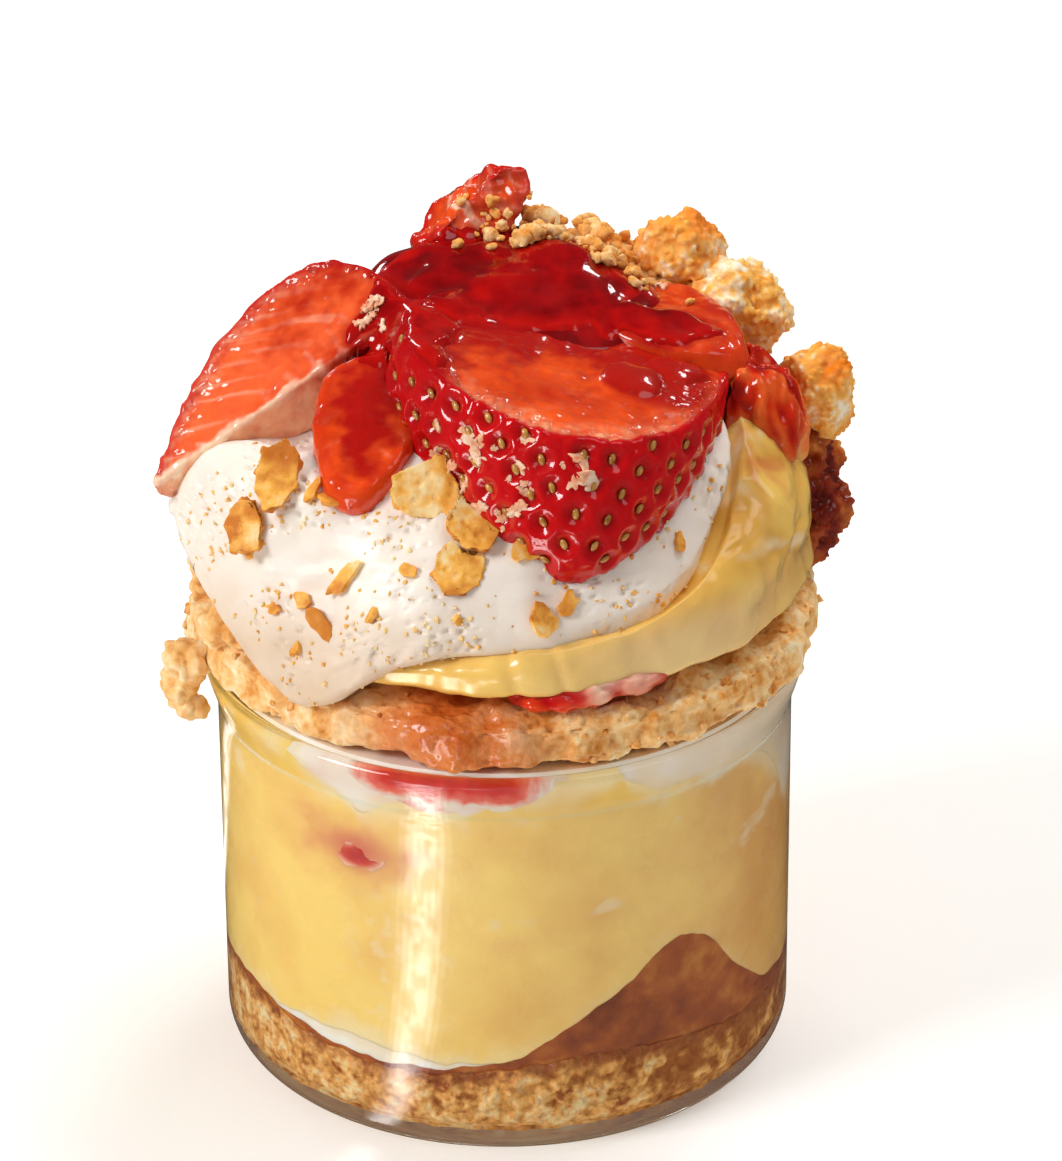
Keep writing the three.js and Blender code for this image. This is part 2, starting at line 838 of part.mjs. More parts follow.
const FINISHES = {
  glass: { color: 0xf4f7f6, roughness: 0.02, metalness: 0, transparent: true, opacity: 0.28 },
  biscuit: { color: 0xd39a55, roughness: 0.85, metalness: 0 },
  soaked: { color: 0x9a5a2a, roughness: 0.45, metalness: 0 },
  custard: { color: 0xf2d684, roughness: 0.35, metalness: 0 },
  cream: { color: 0xf8f3ec, roughness: 0.5, metalness: 0 },
  cake: { color: 0xe2b87c, roughness: 0.8, metalness: 0 },
  crust: { color: 0xe6b063, roughness: 0.7, metalness: 0 },
  berry: { color: 0xd0281f, roughness: 0.25, metalness: 0 },
  jam: { color: 0x8f0d12, roughness: 0.12, metalness: 0 },
};

/** Layers inside the glass, cut clear of the two pieces sunk in them. */
function fillPieces() {
  const room = jarRoom();
  const piece = (name, finish, solid) => ({ name, finish, solid: solid.intersect(room) });
  const sunk = cutClear([
    piece("strawberry_sunk", "berry", lump(SUNK_BERRY)),
    piece("jam_under_rim", "jam", lump(RIM_JAM)),
  ]);
  const above = (height) => (x, y) => height(x, y) + GAP;
  const layers = [
    piece("biscuit_base", "biscuit", layer(() => 0, baseTop)),
    piece("soaked_sponge", "soaked", layer(above(baseTop), soakTop)),
    piece("cream_lower", "cream", layer(above(soakTop), lowerCreamTop)),
    piece("custard_fill", "custard", layer(above(lowerCreamTop), upperCreamFoot)),
    piece("cream_upper", "cream", layer(above(upperCreamFoot), () => FILL_TOP + REST)),
  ];
  return [...sunk, ...layers.map((body) => cutClear([...sunk, body]).pop())];
}

/** Glass jar and the pieces heaped above its rim, each cut clear of those before it. */
function heapPieces() {
  const named = (table, finish, build) => Object.entries(table).map(
    ([name, spec], i) => ({ name, finish: finish(name), solid: build(spec, i + 1) }),
  );
  return cutClear([
    { name: "glass_jar", finish: "glass", solid: glassJar() },
    ...named(BERRIES, () => "berry", cutBerry),
    ...named(CHUNKS, (name) => (name.startsWith("biscuit") ? "crust" : "jam"), chunk),
    ...named(SHARDS, () => "crust", crustShard),
    { name: "strawberry_low", finish: "berry", solid: lump(LOW_SLICE) },
    { name: "cake_ring", finish: "cake", solid: fuse(pebble(CAKE), cakeCrumbs()) },
    { name: "custard_crown", finish: "custard", solid: pebble(CUSTARD) },
    { name: "cream_dollop", finish: "cream", solid: fuse(pebble(CREAM), creamFlakes()) },
    { name: "crumble_back", finish: "cake", solid: fuse(pebble(CRUMBLE), crestCrumbs()) },
    { name: "jam_glaze", finish: "jam", solid: pebble(JAM) },
  ]);
}

const group = new THREE.Group();
group.name = "jar_cheesecake";
[...fillPieces(), ...heapPieces()].forEach(({ name, finish, solid }) => {
  const mesh = new THREE.Mesh(toGeometry(solid), new THREE.MeshStandardMaterial(FINISHES[finish]));
  mesh.name = name;
  group.add(mesh);
});

export default group;
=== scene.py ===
"""Looks of a jar cheesecake: glass, layered filling, cake, custard, cream, cut strawberries, jam and crumbs.

Sizes are millimetres in the shared frame: +Z up, the front of the jar towards -Y, its foot at z = 0.
"""

import json
import logging
import math
from collections.abc import Callable, Iterator
from contextlib import contextmanager
from dataclasses import dataclass
from enum import Enum
from functools import cache
from itertools import product
from typing import ClassVar

import bmesh
import bpy
import numpy as np
from mathutils import Matrix, Vector
from mathutils.bvhtree import BVHTree

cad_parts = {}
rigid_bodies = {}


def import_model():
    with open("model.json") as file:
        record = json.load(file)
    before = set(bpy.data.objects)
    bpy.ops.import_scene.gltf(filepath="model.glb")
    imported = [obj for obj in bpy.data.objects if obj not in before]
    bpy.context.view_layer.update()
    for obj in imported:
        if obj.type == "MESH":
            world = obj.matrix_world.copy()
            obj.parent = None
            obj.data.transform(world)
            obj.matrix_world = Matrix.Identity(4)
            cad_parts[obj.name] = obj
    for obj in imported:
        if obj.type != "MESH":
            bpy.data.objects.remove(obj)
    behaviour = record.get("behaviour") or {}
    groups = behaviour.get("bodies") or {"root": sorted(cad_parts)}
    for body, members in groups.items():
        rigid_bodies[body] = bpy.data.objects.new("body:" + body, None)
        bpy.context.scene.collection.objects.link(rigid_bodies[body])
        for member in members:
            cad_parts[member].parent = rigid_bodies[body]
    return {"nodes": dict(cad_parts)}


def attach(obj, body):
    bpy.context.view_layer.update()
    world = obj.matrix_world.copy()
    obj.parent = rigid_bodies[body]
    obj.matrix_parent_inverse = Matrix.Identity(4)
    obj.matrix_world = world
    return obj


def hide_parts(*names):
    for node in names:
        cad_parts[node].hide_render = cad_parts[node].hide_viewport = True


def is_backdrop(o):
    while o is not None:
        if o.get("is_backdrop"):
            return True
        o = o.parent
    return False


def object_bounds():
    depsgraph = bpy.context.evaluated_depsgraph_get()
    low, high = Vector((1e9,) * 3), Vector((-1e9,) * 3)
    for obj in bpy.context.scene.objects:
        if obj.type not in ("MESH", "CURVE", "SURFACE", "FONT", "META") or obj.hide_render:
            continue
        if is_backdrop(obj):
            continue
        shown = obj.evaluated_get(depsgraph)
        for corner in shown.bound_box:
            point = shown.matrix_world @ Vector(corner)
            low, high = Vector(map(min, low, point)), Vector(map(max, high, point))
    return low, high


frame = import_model()
CAD_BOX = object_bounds()

MM = 0.001
WELD = 0.001
QUARTER_TURN = 90.0
HALF_TURN = 180.0
AXIS_SHIFTS = (0, 40, 80)
GRAINED = {"Vector": "Vector", "Grain": "Float"}
BROAD = (0.3, 0.7)
NARROW = (0.35, 0.65)
TONE_SPAN = (0.34, 0.66)
TONE_MIX = (0.6, 0.4)
TONE_WIDE = 4.0
TONE_FINE = (4.0, 0.65)
PORE_SPAN = (0.55, 0.85)
PORE_DEPTH = 0.5
LOW_DETAIL = 2.0
FILM_SLOW = 3.0
FILM_FINE = 0.28
FILM_MIX = (1.5, 0.35)
IMAGE = (1062, 1161)

Array = np.ndarray
Pair = tuple[float, float]
Triple = tuple[float, float, float]
Four = tuple[float, float, float, float]
Point = Triple
Socket = bpy.types.NodeSocket
Tree = bpy.types.NodeTree
Material = bpy.types.Material
Mesh = bpy.types.Mesh
Piece = bpy.types.Object
Height = Callable[[np.ndarray, np.ndarray], np.ndarray]

log = logging.getLogger("jar_cheesecake")


class Slot(Enum):
    """Material slots of the record."""

    GLASS = "glass"
    BISCUIT = "biscuit"
    SOAKED = "soaked"
    CUSTARD = "custard"
    CREAM = "cream"
    CAKE = "cake"
    CRUST = "crust"
    BERRY = "berry"
    JAM = "jam"


@dataclass(frozen=True)
class Step:
    """Soft step from nought at low to one at high."""

    low: float
    high: float

    def __call__(self, value: Array) -> Array:
        """Share of the step at values."""
        share = np.clip((np.asarray(value, float) - self.low) / (self.high - self.low), 0, 1)
        return share * share * (3 - 2 * share)


@dataclass(frozen=True)
class Bell:
    """Bell of a height round a crest and with a spread in degrees."""

    height: float
    crest: float
    spread: float

    def __call__(self, angle: Array) -> Array:
        """Height of the bell at angles."""
        gap = (np.asarray(angle, float) - self.crest + HALF_TURN) % (2 * HALF_TURN) - HALF_TURN
        return self.height * np.exp(-((gap / self.spread) ** 2))


def bearing(x: Array, y: Array) -> Array:
    """Angle in degrees of plan points."""
    return np.degrees(np.arctan2(y, x))


def plan(radius: Array, angle: Array) -> Array:
    """Plan points at a radius and an angle in degrees, as rows of x and y."""
    turn = np.radians(angle)
    return np.stack([radius * np.cos(turn), radius * np.sin(turn)], -1)


def full_turn(count: int) -> Array:
    """Even angles in degrees round a full turn."""
    return np.linspace(0, 2 * HALF_TURN, count, endpoint=False)


def unit(vector: Array) -> Array:
    """Vectors scaled to length one along their last axis."""
    vector = np.asarray(vector, float)
    return vector / np.linalg.norm(vector, axis=-1, keepdims=True)


class Noise:
    """Seeded smooth noise and cell noise over points."""

    SIZE = 256
    GAIN = 1.6

    def __init__(self, seed: int) -> None:
        """Draws the tables."""
        draw = np.random.default_rng(seed)
        self.order = draw.permutation(self.SIZE)
        self.slopes = unit(draw.normal(size=(self.SIZE, 3)))
        self.places = draw.random((self.SIZE, 3))

    def _pick(self, cell: Array) -> Array:
        """Table row of each lattice cell."""
        x, y, z = (cell & (self.SIZE - 1)).T
        mixed = self.order[(self.order[x] + y) & (self.SIZE - 1)]
        return self.order[(mixed + z) & (self.SIZE - 1)]

    def soft(self, points: Array, grain: float) -> Array:
        """Smooth noise between about -1 and 1.

        Args:
            points: rows of x, y, z.
            grain: size of one swell.

        Returns:
            One value a point.
        """
        spot = np.asarray(points, float) / grain
        cell = np.floor(spot).astype(int)
        part = spot - cell
        fade = part**3 * (part * (part * 6 - 15) + 10)
        total = np.zeros(len(spot))
        for corner in product((0, 1), repeat=3):
            slope = self.slopes[self._pick(cell + np.array(corner))]
            weight = np.where(np.array(corner) == 1, fade, 1 - fade).prod(axis=1)
            total += weight * ((part - corner) * slope).sum(axis=1)
        return self.GAIN * total

    def layered(self, points: Array, grain: float, octaves: int) -> Array:
        """Smooth noise with finer swells added, each half as large and high as the last."""
        return sum(self.soft(points, grain / 2**i) / 2**i for i in range(octaves))

    def cells(self, points: Array, grain: float) -> Array:
        """Distance to the nearest of scattered spots, in grains."""
        spot = np.asarray(points, float) / grain
        cell = np.floor(spot).astype(int)
        nearest = np.full(len(spot), np.inf)
        for step in product((-1, 0, 1), repeat=3):
            other = cell + np.array(step)
            gap = other + self.places[self._pick(other)] - spot
            nearest = np.minimum(nearest, (gap**2).sum(axis=1))
        return np.sqrt(nearest)


NOISE = Noise(11)


@dataclass(frozen=True)
class Swell:
    """Layered smooth noise: height, size of its largest swells, layers, and how points are moved to it."""

    height: float
    size: float
    layers: int
    shift: float = 0.0
    stretch: Point = (1.0, 1.0, 1.0)

    def __call__(self, points: Array) -> Array:
        """Height of the noise at points."""
        spots = (points + self.shift) * np.array(self.stretch)
        return self.height * NOISE.layered(spots, self.size, self.layers)


@dataclass(frozen=True)
class Dots:
    """Marks round scattered spots: the size of their cells, and the soft step towards the spots."""

    size: float
    step: Step
    shift: float = 0.0

    def __call__(self, points: Array) -> Array:
        """Share of a mark at points."""
        return self.step(NOISE.cells(points + self.shift, self.size))


def bent(points: Array, sway: Swell) -> Array:
    """Points moved about by noise, differently along each axis."""
    return points + np.column_stack([sway(points + shift) for shift in AXIS_SHIFTS])


def mixed(weights: tuple[float, ...], *values: Array) -> Array:
    """Sum of values with a weight each, kept between nought and one."""
    return np.clip(sum(w * v for w, v in zip(weights, values, strict=True)), 0, 1)


def settle(body: Piece) -> Mesh:
    """Plain mesh of a body with its modifiers applied; the body itself is removed."""
    graph = bpy.context.evaluated_depsgraph_get()
    mesh = bpy.data.meshes.new_from_object(body.evaluated_get(graph))
    bpy.data.objects.remove(body)
    return mesh


def hold(name: str, mesh: Mesh) -> Piece:
    """Object of a mesh, linked to the scene."""
    body = bpy.data.objects.new(name, mesh)
    bpy.context.scene.collection.objects.link(body)
    return body


def enlist(name: str, mesh: Mesh, slot: Slot, *nodes: str) -> Piece:
    """Makes a finished mesh a piece of the object.

    Args:
        name: the piece's name.
        mesh: its mesh, in metres.
        slot: the record's material slot; not used.
        nodes: solids of the frame that it stands for.

    Returns:
        The piece, riding on the jar.
    """
    mesh.name = name
    piece = hold(name, mesh)
    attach(piece, "root")
    if nodes:
        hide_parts(*nodes)
    log.info("%s: %d faces", name, len(mesh.polygons))
    return piece


@contextmanager
def edited(mesh: Mesh) -> Iterator[bmesh.types.BMesh]:
    """Opens a mesh for editing and writes it back."""
    body = bmesh.new()
    body.from_mesh(mesh)
    yield body
    body.to_mesh(mesh)
    body.free()


class Skin:
    """Closed mesh in the making, in millimetres."""

    EASE = 0.5

    def __init__(self, mesh: Mesh) -> None:
        """Takes a mesh over."""
        self.mesh = mesh

    @classmethod
    def of_faces(cls, points: Array, faces: list) -> "Skin":
        """Skin of listed points and faces."""
        mesh = bpy.data.meshes.new("skin")
        mesh.from_pydata(np.asarray(points).tolist(), [], faces)
        mesh.update()
        return cls(mesh)

    @classmethod
    def loft(cls, rings: Array, low: Array, high: Array) -> "Skin":
        """Skin through rings of points, closed by a pole below and a pole above.

        Args:
            rings: rows of rings of points, from the low pole outwards, up and in again.
            low: pole below.
            high: pole above.

        Returns:
            The closed skin.
        """
        rows, count, _ = rings.shape
        points = np.vstack([[low], rings.reshape(-1, 3), [high]])
        here = np.arange(count)
        after = (here + 1) % count
        last = len(points) - 1
        top = 1 + (rows - 1) * count
        fans = [np.stack([np.zeros(count, int), 1 + after, 1 + here], -1)]
        fans.append(np.stack([np.full(count, last), top + here, top + after], -1))
        start = 1 + count * np.arange(rows - 1)[:, None]
        corners = [start + here, start + after, start + count + after, start + count + here]
        quads = np.stack(corners, -1).reshape(-1, 4)
        return cls.of_faces(points, np.vstack(fans).tolist() + quads.tolist())

    @classmethod
    def of_node(cls, node: str, voxel: float, passes: int) -> "Skin":
        """Evenly meshed, softened copy of a solid of the frame."""
        mesh = frame["nodes"][node].data.copy()
        mesh.materials.clear()
        mesh.transform(Matrix.Scale(1 / MM, 4))
        return cls(mesh).weld().remesh(voxel, passes)

    def weld(self) -> "Skin":
        """Joins points that coincide."""
        with edited(self.mesh) as body:
            bmesh.ops.remove_doubles(body, verts=body.verts, dist=WELD)
        return self

    @classmethod
    def join(cls, skins: "list[Skin]") -> "Skin":
        """Skins put together in one mesh, with their points in order."""
        mesh = bpy.data.meshes.new("skin")
        with edited(mesh) as body:
            for skin in skins:
                body.from_mesh(skin.mesh)
        return cls(mesh)

    @classmethod
    def balls(cls, balls: list[tuple[Point, float]], rounds: int = 3) -> "Skin":
        """Balls of given places and sizes, in one mesh."""
        mesh = bpy.data.meshes.new("skin")
        with edited(mesh) as body:
            for place, size in balls:
                at = Matrix.Translation(Vector(place))
                bmesh.ops.create_icosphere(body, subdivisions=rounds, radius=size / 2, matrix=at)
        return cls(mesh)

    def drop_loose(self) -> "Skin":
        """Removes points that no face uses."""
        with edited(self.mesh) as body:
            loose = [v for v in body.verts if not v.link_faces]
            bmesh.ops.delete(body, geom=loose, context="VERTS")
        return self

    def trim(self, cuts: "tuple[Cut, ...]") -> "Skin":
        """Cuts the skin by planes and closes each cut with a flat face."""
        with edited(self.mesh) as body:
            for cut in cuts:
                found = bmesh.ops.bisect_plane(
                    body,
                    geom=[*body.verts, *body.edges, *body.faces],
                    plane_co=cut.through,
                    plane_no=cut.outward,
                    clear_outer=True,
                )
                edges = [item for item in found["geom_cut"] if isinstance(item, bmesh.types.BMEdge)]
                bmesh.ops.contextual_create(body, geom=edges)
            bmesh.ops.recalc_face_normals(body, faces=body.faces)
        return self

    def remesh(self, voxel: float, passes: int) -> "Skin":
        """Replaces the mesh by an even one, softened by a number of smoothing passes."""
        body = hold("body", self.mesh)
        cover = body.modifiers.new("cover", "REMESH")
        cover.mode = "VOXEL"
        cover.voxel_size = voxel
        ease = body.modifiers.new("ease", "SMOOTH")
        ease.factor = self.EASE
        ease.iterations = passes
        self.mesh = settle(body)
        return self

    def _read(self, key: str) -> Array:
        """Vectors that the mesh holds a point."""
        out = np.empty(len(self.mesh.vertices) * 3, np.float32)
        self.mesh.vertices.foreach_get(key, out)
        return out.reshape(-1, 3).astype(float)

    @property
    def points(self) -> Array:
        """Rows of x, y, z."""
        return self._read("co")

    @points.setter
    def points(self, value: Array) -> None:
        """Moves the points."""
        self.mesh.vertices.foreach_set("co", np.asarray(value, np.float32).ravel())
        self.mesh.update()

    @property
    def normals(self) -> Array:
        """Outward direction at each point."""
        return self._read("normal")

    def push(self, amount: Array) -> "Skin":
        """Moves the points outwards by an amount each."""
        self.points = self.points + self.normals * np.broadcast_to(amount, len(self.points))[:, None]
        return self

    def tag(self, **values: Array) -> "Skin":
        """Stores values a point under their names for the finishes to read."""
        for name, value in values.items():
            layer = self.mesh.attributes.new(name, "FLOAT", "POINT")
            spread = np.broadcast_to(value, len(self.mesh.vertices))
            layer.data.foreach_set("value", spread.astype(np.float32))
        return self

    def crisp(self, angle: float) -> "Skin":
        """Keeps edges that are sharper than an angle in degrees unsmoothed."""
        self.mesh.shade_smooth()
        self.mesh.set_sharp_from_angle(angle=math.radians(angle))
        return self

    def dress(self, name: str, finish: "Finish", slot: Slot, *nodes: str) -> Piece:
        """Turns the skin into a finished piece of the object.

        Args:
            name: the piece's name.
            finish: what its surface is made of.
            slot: the record's material slot.
            nodes: solids of the frame that it stands for.

        Returns:
            The piece, riding on the jar.
        """
        self.mesh.transform(Matrix.Scale(MM, 4))
        self.mesh.update()
        if "sharp_edge" not in self.mesh.attributes:
            self.mesh.shade_smooth()
        self.mesh.materials.clear()
        self.mesh.materials.append(finish.material())
        return enlist(name, self.mesh, slot, *nodes)


class Surface:
    """Finished pieces that others are laid on."""

    ABOVE = 200.0

    def __init__(self, pieces: list[Piece]) -> None:
        """Sorts the pieces' faces for searching."""
        graph = bpy.context.evaluated_depsgraph_get()
        self.trees = [BVHTree.FromObject(piece, graph) for piece in pieces]

    def nearest(self, spot: Point) -> tuple[Array, Array]:
        """Nearest point of the surface, and its outward direction."""
        found = [tree.find_nearest(Vector(spot) * MM) for tree in self.trees]
        place, facing, _, _ = min(found, key=lambda hit: hit[3])
        return np.array(place) / MM, np.array(facing)

    def heights(self, x: Array, y: Array) -> Array:
        """Highest point of the surface over plan points; nought where there is none."""
        found = np.zeros(x.size)
        down = Vector((0, 0, -1))
        for i, (a, b) in enumerate(zip(x.ravel(), y.ravel())):
            start = Vector((a, b, self.ABOVE)) * MM
            hits = (tree.ray_cast(start, down)[0] for tree in self.trees)
            found[i] = max((hit.z / MM for hit in hits if hit), default=0.0)
        return found.reshape(x.shape)


def tint(code: str) -> Four:
    """Linear colour of a screen colour written as six hexadecimal digits."""
    parts = [int(code[i : i + 2], 16) / 255 for i in (0, 2, 4)]
    linear = [p / 12.92 if p <= 0.04045 else ((p + 0.055) / 1.055) ** 2.4 for p in parts]
    return (*linear, 1.0)


class Maker:
    """Short ways to add nodes to a tree."""

    def __init__(self, tree: Tree) -> None:
        """Takes a tree to add nodes to."""
        self.tree = tree

    def node(self, kind: str, given: dict | None = None, **settings: object) -> bpy.types.Node:
        """New node of a kind with some of its settings, and inputs that are given."""
        made = self.tree.nodes.new(kind)
        for key, value in settings.items():
            setattr(made, key, value)
        for key, value in (given or {}).items():
            self.feed(made.inputs[key], value)
        return made

    def feed(self, socket: Socket, value: object) -> None:
        """Links a socket, or sets its value."""
        if isinstance(value, bpy.types.NodeSocket):
            self.tree.links.new(value, socket)
        else:
            socket.default_value = value

    def maths(self, operation: str, first: object, second: object, clamp: bool = False) -> Socket:
        """Result of one sum on two values."""
        values = {0: first, 1: second}
        return self.node("ShaderNodeMath", values, operation=operation, use_clamp=clamp).outputs[0]

    def times(self, first: object, second: object) -> Socket:
        """Product of two values."""
        return self.maths("MULTIPLY", first, second)

    def inverse(self, value: object) -> object:
        """One over a number or a linked value."""
        return self.maths("DIVIDE", 1.0, value) if isinstance(value, Socket) else 1 / value

    def noise(self, place: Socket, grain: object, detail: float = 3.0, rough: float = 0.55) -> Socket:
        """Smooth noise whose swells have a size in the place's units."""
        values = {"Vector": place, "Scale": self.inverse(grain), "Detail": detail, "Roughness": rough}
        return self.node("ShaderNodeTexNoise", values).outputs[0]

    def cells(self, place: Socket, grain: object) -> Socket:
        """Distance to the nearest of scattered spots, in grains."""
        values = {"Vector": place, "Scale": self.inverse(grain)}
        return self.node("ShaderNodeTexVoronoi", values).outputs["Distance"]

    def ramp(self, share: Socket, stops: dict[float, str]) -> Socket:
        """Colour along a run of screen colours."""
        made = self.node("ShaderNodeValToRGB", {0: share})
        marks = made.color_ramp.elements
        for i, (where, code) in enumerate(sorted(stops.items())):
            mark = marks[i] if i < len(marks) else marks.new(where)
            mark.position = where
            mark.color = tint(code)
        return made.outputs["Color"]

    def blend(self, share: object, first: object, second: object, mode: str = "MIX") -> Socket:
        """Mix of two colours."""
        colours = [tint(c) if isinstance(c, str) else c for c in (first, second)]
        values = {0: share, 6: colours[0], 7: colours[1]}
        return self.node("ShaderNodeMix", values, data_type="RGBA", blend_type=mode).outputs[2]

    def span(self, value: Socket, low: float, high: float, start: float = 0.0, end: float = 1.0) -> Socket:
        """Value moved from one range to another, kept inside it."""
        values = dict(enumerate((value, low, high, start, end)))
        return self.node("ShaderNodeMapRange", values).outputs[0]


class Recipe(Maker):
    """Node tree of one material round a Principled shader."""

    def __init__(self, name: str) -> None:
        """Starts a material with its shader and output."""
        self.material = bpy.data.materials.new(name)
        self.material.use_nodes = True
        super().__init__(self.material.node_tree)
        self.tree.nodes.clear()
        self.shader = self.node("ShaderNodeBsdfPrincipled")
        self.output = self.node("ShaderNodeOutputMaterial")
        self.feed(self.output.inputs["Surface"], self.shader.outputs["BSDF"])

    def place(self) -> Socket:
        """Object coordinates in millimetres."""
        source = self.node("ShaderNodeTexCoord").outputs["Object"]
        return self.node("ShaderNodeMapping", {"Vector": source, "Scale": (1 / MM,) * 3}).outputs["Vector"]

    def attribute(self, name: str) -> Socket:
        """Value that a piece stores a point."""
        return self.node("ShaderNodeAttribute", attribute_name=name).outputs["Fac"]

    def put(self, **values: object) -> None:
        """Sets or links the shader's sockets by their names, with _ for a space."""
        for name, value in values.items():
            words = name.replace("_", " ").title().replace("Ior", "IOR")
            self.feed(self.shader.inputs[words], value)

    def paint(self, colour: object, **layers: str) -> Socket:
        """Colour covered by other colours as far as the piece's values of the same names say."""
        for name, code in layers.items():
            colour = self.blend(self.attribute(name), colour, code)
        return colour

    def glow(self, weight: float, radius: Point, reach: float) -> None:
        """Light that passes under the surface, with its reach in millimetres."""
        self.put(subsurface_weight=weight, subsurface_radius=radius, subsurface_scale=reach * MM)

    def relief(self, height: Socket, depth: float) -> None:
        """Bumps of a depth in millimetres on the shader's normal."""
        values = {"Strength": 1.0, "Distance": depth * MM, "Height": height}
        self.put(normal=self.node("ShaderNodeBump", values).outputs["Normal"])

    def use(self, group: Tree, **inputs: object) -> object:
        """Outputs of a shared node group placed with its own values."""
        made = self.node("ShaderNodeGroup", node_tree=group)
        for name, value in inputs.items():
            self.feed(made.inputs[name], value)
        return made.outputs


def group_of(name: str, kind: str, inputs: dict, outputs: dict) -> tuple[Maker, object, object]:
    """Makes a node group.

    Args:
        name: its name.
        kind: its kind of tree.
        inputs: kinds of its input sockets by name.
        outputs: kinds of its output sockets by name.

    Returns:
        A maker for its nodes, its input node's outputs and its output node's inputs.
    """
    tree = bpy.data.node_groups.new(name, kind)
    for way, sockets in (("INPUT", inputs), ("OUTPUT", outputs)):
        for key, sort in sockets.items():
            tree.interface.new_socket(key, in_out=way, socket_type="NodeSocket" + sort)
    maker = Maker(tree)
    return maker, maker.node("NodeGroupInput").outputs, maker.node("NodeGroupOutput").inputs


@cache
def crumb_grain() -> Tree:
    """Shared group: tone and relief of open crumb, and painted shade in the pores between its grains."""
    results = dict.fromkeys(("Tone", "Relief", "Pore shade"), "Float")
    maker, given, result = group_of("Crumb grain", "ShaderNodeTree", GRAINED, results)
    place, grain = given["Vector"], given["Grain"]
    wide = maker.noise(place, maker.times(grain, TONE_WIDE), LOW_DETAIL)
    fine = maker.noise(place, grain, *TONE_FINE)
    spots = maker.cells(place, grain)
    tone = maker.maths("ADD", maker.times(wide, TONE_MIX[0]), maker.times(fine, TONE_MIX[1]))
    maker.feed(result["Tone"], maker.span(tone, *TONE_SPAN))
    maker.feed(result["Relief"], maker.maths("SUBTRACT", fine, maker.times(spots, PORE_DEPTH)))
    # Painted shade: how deep in a pore each place lies.
    maker.feed(result["Pore shade"], maker.span(spots, *PORE_SPAN))
    return maker.tree


@cache
def wet_film() -> Tree:
    """Shared group: uneven gloss, and ripples with fine glints, of a wet surface."""
    results = dict.fromkeys(("Gloss", "Ripple"), "Float")
    maker, given, result = group_of("Wet film", "ShaderNodeTree", GRAINED, results)
    place, grain = given["Vector"], given["Grain"]
    slow = maker.noise(place, maker.times(grain, FILM_SLOW), LOW_DETAIL)
    quick = maker.noise(place, grain, LOW_DETAIL)
    fine = maker.noise(place, maker.times(grain, FILM_FINE), LOW_DETAIL)
    swell = maker.maths("ADD", maker.times(slow, FILM_MIX[0]), quick)
    maker.feed(result["Gloss"], maker.span(slow, *NARROW))
    maker.feed(result["Ripple"], maker.maths("ADD", swell, maker.times(fine, FILM_MIX[1])))
    return maker.tree


class Finish:
    """A finish that makes its material once."""

    name: str
    made: ClassVar[dict[str, Material]] = {}

    def material(self) -> Material:
        """The finish's material."""
        if self.name not in self.made:
            self.made[self.name] = self.mix()
        return self.made[self.name]

    def mix(self) -> Material:
        """Builds the material."""
        raise NotImplementedError


@dataclass(frozen=True)
class ClearGlass(Finish):
    """Clear glass that lets light through to what it holds."""

    name: str = "clear_glass"
    colour: str = "f7fbfa"
    bend: float = 1.46

    def mix(self) -> Material:
        """Builds the material."""
        recipe = Recipe(self.name)
        recipe.put(base_color=tint(self.colour), roughness=0.0, transmission_weight=1.0, IOR=self.bend)
        rays = recipe.node("ShaderNodeLightPath").outputs
        open_air = recipe.node("ShaderNodeBsdfTransparent", {"Color": tint(self.colour)}).outputs["BSDF"]
        passing = recipe.maths("MAXIMUM", rays["Is Shadow Ray"], rays["Is Diffuse Ray"])
        shaders = {0: passing, 1: recipe.shader.outputs["BSDF"], 2: open_air}
        choice = recipe.node("ShaderNodeMixShader", shaders)
        recipe.feed(recipe.output.inputs["Surface"], choice.outputs[0])
        return recipe.material


@dataclass(frozen=True)
class Crumbly(Finish):
    """Baked crumb: biscuit, cake, crust and crumbs. Reads its toasting, syrup and stain values from the
    piece; on some pieces the toasting value also carries painted shade in hollows and painted light and
    shade on sides, and the pores get painted shade.
    """

    name: str
    brown: str
    golden: str
    pale: str
    grain: float = 1.1
    depth: float = 0.3
    rough: float = 0.8
    # How much painted shade darkens the pores towards brown.
    pores: float = 0.3
    syrup: str = "c9751f"
    stain: str = "b3221f"
    toasted: float = 0.12
    stops: Triple = (0.0, 0.4, 0.85)
    soaked: float = 0.85
    gloss: float = 0.2
    coat: float = 0.6
    coat_rough: float = 0.08
    shine: float = 0.3
    glow: tuple[float, Point, float] = (0.15, (1.0, 0.6, 0.3), 1.0)

    def mix(self) -> Material:
        """Builds the material."""
        recipe = Recipe(self.name)
        crumb = recipe.use(crumb_grain(), Vector=recipe.place(), Grain=self.grain)
        light = recipe.span(recipe.attribute("toast"), 0, 1, 1.0, self.toasted)
        tones = dict(zip(self.stops, (self.brown, self.golden, self.pale)))
        colour = recipe.ramp(recipe.times(crumb["Tone"], light), tones)
        # Painted shade: the crumb darkened towards brown in its pores.
        colour = recipe.blend(recipe.times(crumb["Pore shade"], self.pores), colour, self.brown)
        wet = recipe.attribute("syrup")
        colour = recipe.blend(recipe.times(wet, self.soaked), colour, self.syrup, "MULTIPLY")
        colour = recipe.paint(colour, stain=self.stain)
        recipe.put(base_color=colour, roughness=recipe.span(wet, 0, 1, self.rough, self.gloss))
        recipe.put(coat_weight=recipe.times(wet, self.coat), coat_roughness=self.coat_rough)
        recipe.put(specular_ior_level=self.shine)
        recipe.glow(*self.glow)
        recipe.relief(crumb["Relief"], self.depth)
        return recipe.material


